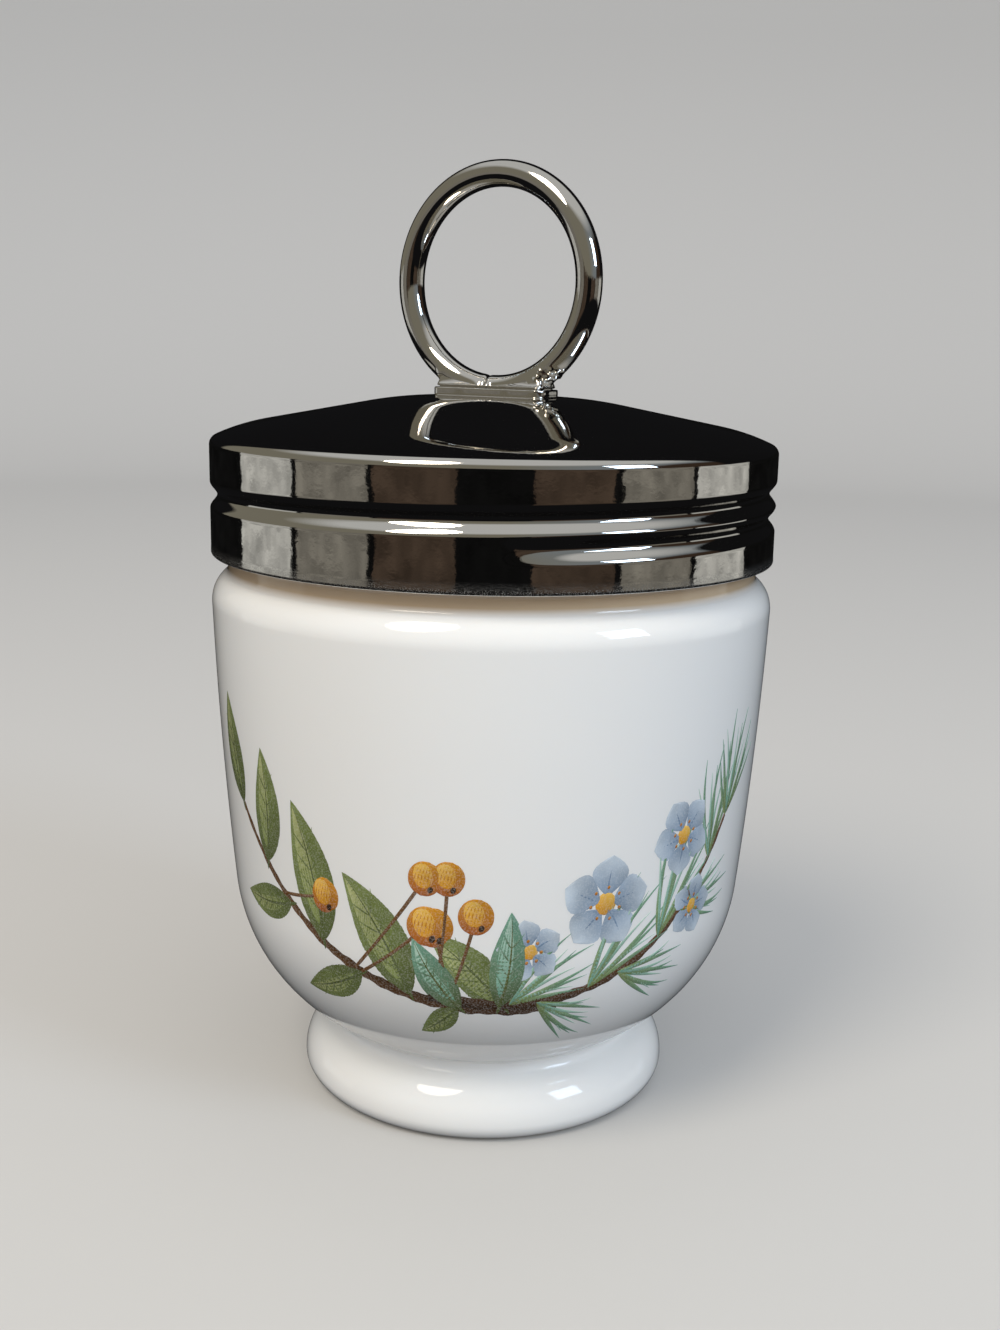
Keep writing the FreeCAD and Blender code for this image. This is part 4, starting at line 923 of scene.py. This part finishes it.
# What polished metal sees of the room: the same plain cards on both sides of a dark front, black between
# them, then plain walls, a ceiling, and black cloth behind and below
BLACK = colour("#0C0C0C")
BROWN = colour("#3A3028")
GREY = colour("#67645D")
PALE_GREY = colour("#9A9A96")
CARDS = (BROWN, GREY, PALE_GREY)  # from the front outwards
CARDS_FROM = 15  # degrees from the front to the first card's near edge
CARD_STEP = 35
CARD_WIDTH = 32
WALL_GREY = colour("#666358")
WALL_BLUE = colour("#666B6E")
CURTAIN_BROWN = colour("#2E241D")
CEILING_GREY = colour("#A1A2A1")
CLOTH_BLACK = colour("#0E0E0F")
CLUTTER = (9.0, 9.0, 80.0)  # patches across and up in one radian
CLUTTER_LEAN = 0.10  # radians by which the clutter moves an edge
MIRROR_STRENGTH = 1.5  # makes up for what the metal swallows
CLOTH_WAY = (0.31, 0.95, 0.0)  # towards the middle of the cloth behind
ROOM_LIGHT = colour("#F4F6FA")
FRONT_WAY = (0.0, -0.97, 0.24)  # towards the brightest part of the room
LIGHT_FROM_ABOVE, LIGHT_FROM_BELOW, LIGHT_FROM_FRONT = 0.62, 0.04, 0.50

world = bpy.data.worlds.new("dim room")
bpy.context.scene.world = world
world.use_nodes = True
tree = world.node_tree
tree.nodes.clear()
direction = add_node(tree, "TexCoord").outputs["Generated"]
way = add_node(tree, "SeparateXYZ", {"Vector": direction})
patches = add_node(tree, "VectorMath", {0: direction, 1: CLUTTER}, operation="MULTIPLY").outputs["Vector"]
clutter = add_node(tree, "TexNoise", {"Vector": patches, "Scale": 1.0, "Detail": 3.0}).outputs["Fac"]
lean = add_node(
    tree, "MapRange", {"Value": clutter, "To Min": -CLUTTER_LEAN / 2, "To Max": CLUTTER_LEAN / 2}
).outputs["Result"]
front = add_node(tree, "Math", {0: way.outputs["Y"], 1: -1.0}, operation="MULTIPLY").outputs[0]
azimuth = add_node(tree, "Math", {0: way.outputs["X"], 1: front}, operation="ARCTAN2").outputs[0]
leaning = add_node(tree, "Math", {0: azimuth, 1: lean}, operation="ADD").outputs[0]
share = add_node(
    tree, "MapRange", {"Value": leaning, "From Min": -math.pi, "From Max": math.pi}
).outputs["Result"]
cards = add_node(tree, "ValToRGB", {"Fac": share})
ramp = cards.color_ramp
ramp.interpolation = "CONSTANT"
card_edges = [(-180, BLACK)]
for place, shade in reversed(list(enumerate(CARDS))):
    near_edge = -CARDS_FROM - place * CARD_STEP
    card_edges += [(near_edge - CARD_WIDTH, shade), (near_edge, BLACK)]
for place, shade in enumerate(CARDS):
    near_edge = CARDS_FROM + place * CARD_STEP
    card_edges += [(near_edge, shade), (near_edge + CARD_WIDTH, BLACK)]
for place, (start, shade) in enumerate(card_edges):
    element = ramp.elements[place] if place < 2 else ramp.elements.new(1.0)
    element.position = (start + 180) / 360
    element.color = shade
depth = add_node(
    tree, "MapRange", {"Value": clutter, "From Min": 0.3, "From Max": 0.7, "To Min": 0.6, "To Max": 1.3}
).outputs["Result"]
eye_level = add_node(tree, "HueSaturation", {"Color": cards.outputs["Color"], "Value": depth})
behind = add_node(tree, "VectorMath", {0: direction, 1: CLOTH_WAY}, operation="DOT_PRODUCT").outputs["Value"]
edge_height = add_node(tree, "Math", {0: way.outputs["Z"], 1: lean}, operation="ADD").outputs[0]
mirrored = WALL_GREY
for value, start, end, shade in (
    (way.outputs["X"], 0.1, 0.6, WALL_BLUE),
    (way.outputs["Z"], 0.60, 0.78, CEILING_GREY),
    (way.outputs["X"], 0.80, 0.88, CURTAIN_BROWN),
    (behind, 0.44, 0.50, CLOTH_BLACK),
    (edge_height, 0.09, 0.06, eye_level.outputs["Color"]),
    (way.outputs["Z"], -0.15, -0.20, CLOTH_BLACK),
):
    reached = add_node(tree, "MapRange", {"Value": value, "From Min": start, "From Max": end})
    layers = {"Factor": reached.outputs["Result"], "A": mirrored, "B": shade}
    mirrored = add_node(tree, "Mix", layers, data_type="RGBA").outputs[2]
seen_in_metal = add_node(tree, "Background", {"Color": mirrored, "Strength": MIRROR_STRENGTH})
fall = add_node(
    tree,
    "MapRange",
    {
        "Value": way.outputs["Z"],
        "From Min": -0.25,
        "From Max": 0.1,
        "To Min": LIGHT_FROM_BELOW,
        "To Max": LIGHT_FROM_ABOVE,
    },
).outputs["Result"]
facing = add_node(tree, "VectorMath", {0: direction, 1: FRONT_WAY}, operation="DOT_PRODUCT").outputs["Value"]
fill = add_node(
    tree, "MapRange", {"Value": facing, "From Min": -0.3, "From Max": 1.0, "To Max": LIGHT_FROM_FRONT}
).outputs["Result"]
brightness = add_node(tree, "Math", {0: fall, 1: fill}, operation="ADD").outputs[0]
room = add_node(tree, "Background", {"Color": ROOM_LIGHT, "Strength": brightness})
ray = add_node(tree, "LightPath")
chosen = add_node(
    tree, "MixShader", {0: ray.outputs["Is Glossy Ray"], 1: room.outputs[0], 2: seen_in_metal.outputs[0]}
)
add_node(tree, "OutputWorld", {"Surface": chosen.outputs[0]})

# Camera at hand's reach, a little above the lid
FRAME_HEIGHT_PX = 1330
FOCAL_PX = 1500
SENSOR = 36.0
CAMERA_PLACE = (0.0, -0.1618, 0.0818)
CAMERA_PITCH = 0.2143  # radians down
CAMERA_ROLL = 0.020
CAMERA_YAW = 0.0066

view = bpy.data.cameras.new("camera")
view.sensor_width = SENSOR
view.lens = FOCAL_PX * SENSOR / FRAME_HEIGHT_PX
view.clip_start = 0.01
camera = bpy.data.objects.new("camera", view)
level_right = np.array([math.cos(CAMERA_YAW), -math.sin(CAMERA_YAW), 0.0])
ahead = np.array([math.sin(CAMERA_YAW), math.cos(CAMERA_YAW), 0.0])
sight = math.cos(CAMERA_PITCH) * ahead - math.sin(CAMERA_PITCH) * np.array([0, 0, 1.0])
upright = math.sin(CAMERA_PITCH) * ahead + math.cos(CAMERA_PITCH) * np.array([0, 0, 1.0])
right = math.cos(CAMERA_ROLL) * level_right + math.sin(CAMERA_ROLL) * upright
top = -math.sin(CAMERA_ROLL) * level_right + math.cos(CAMERA_ROLL) * upright
camera.matrix_world = Matrix(np.column_stack([right, top, -sight, CAMERA_PLACE]).tolist()).to_4x4()
bpy.context.scene.collection.objects.link(camera)
bpy.context.scene.camera = camera
bpy.context.scene.view_settings.view_transform = "Standard"
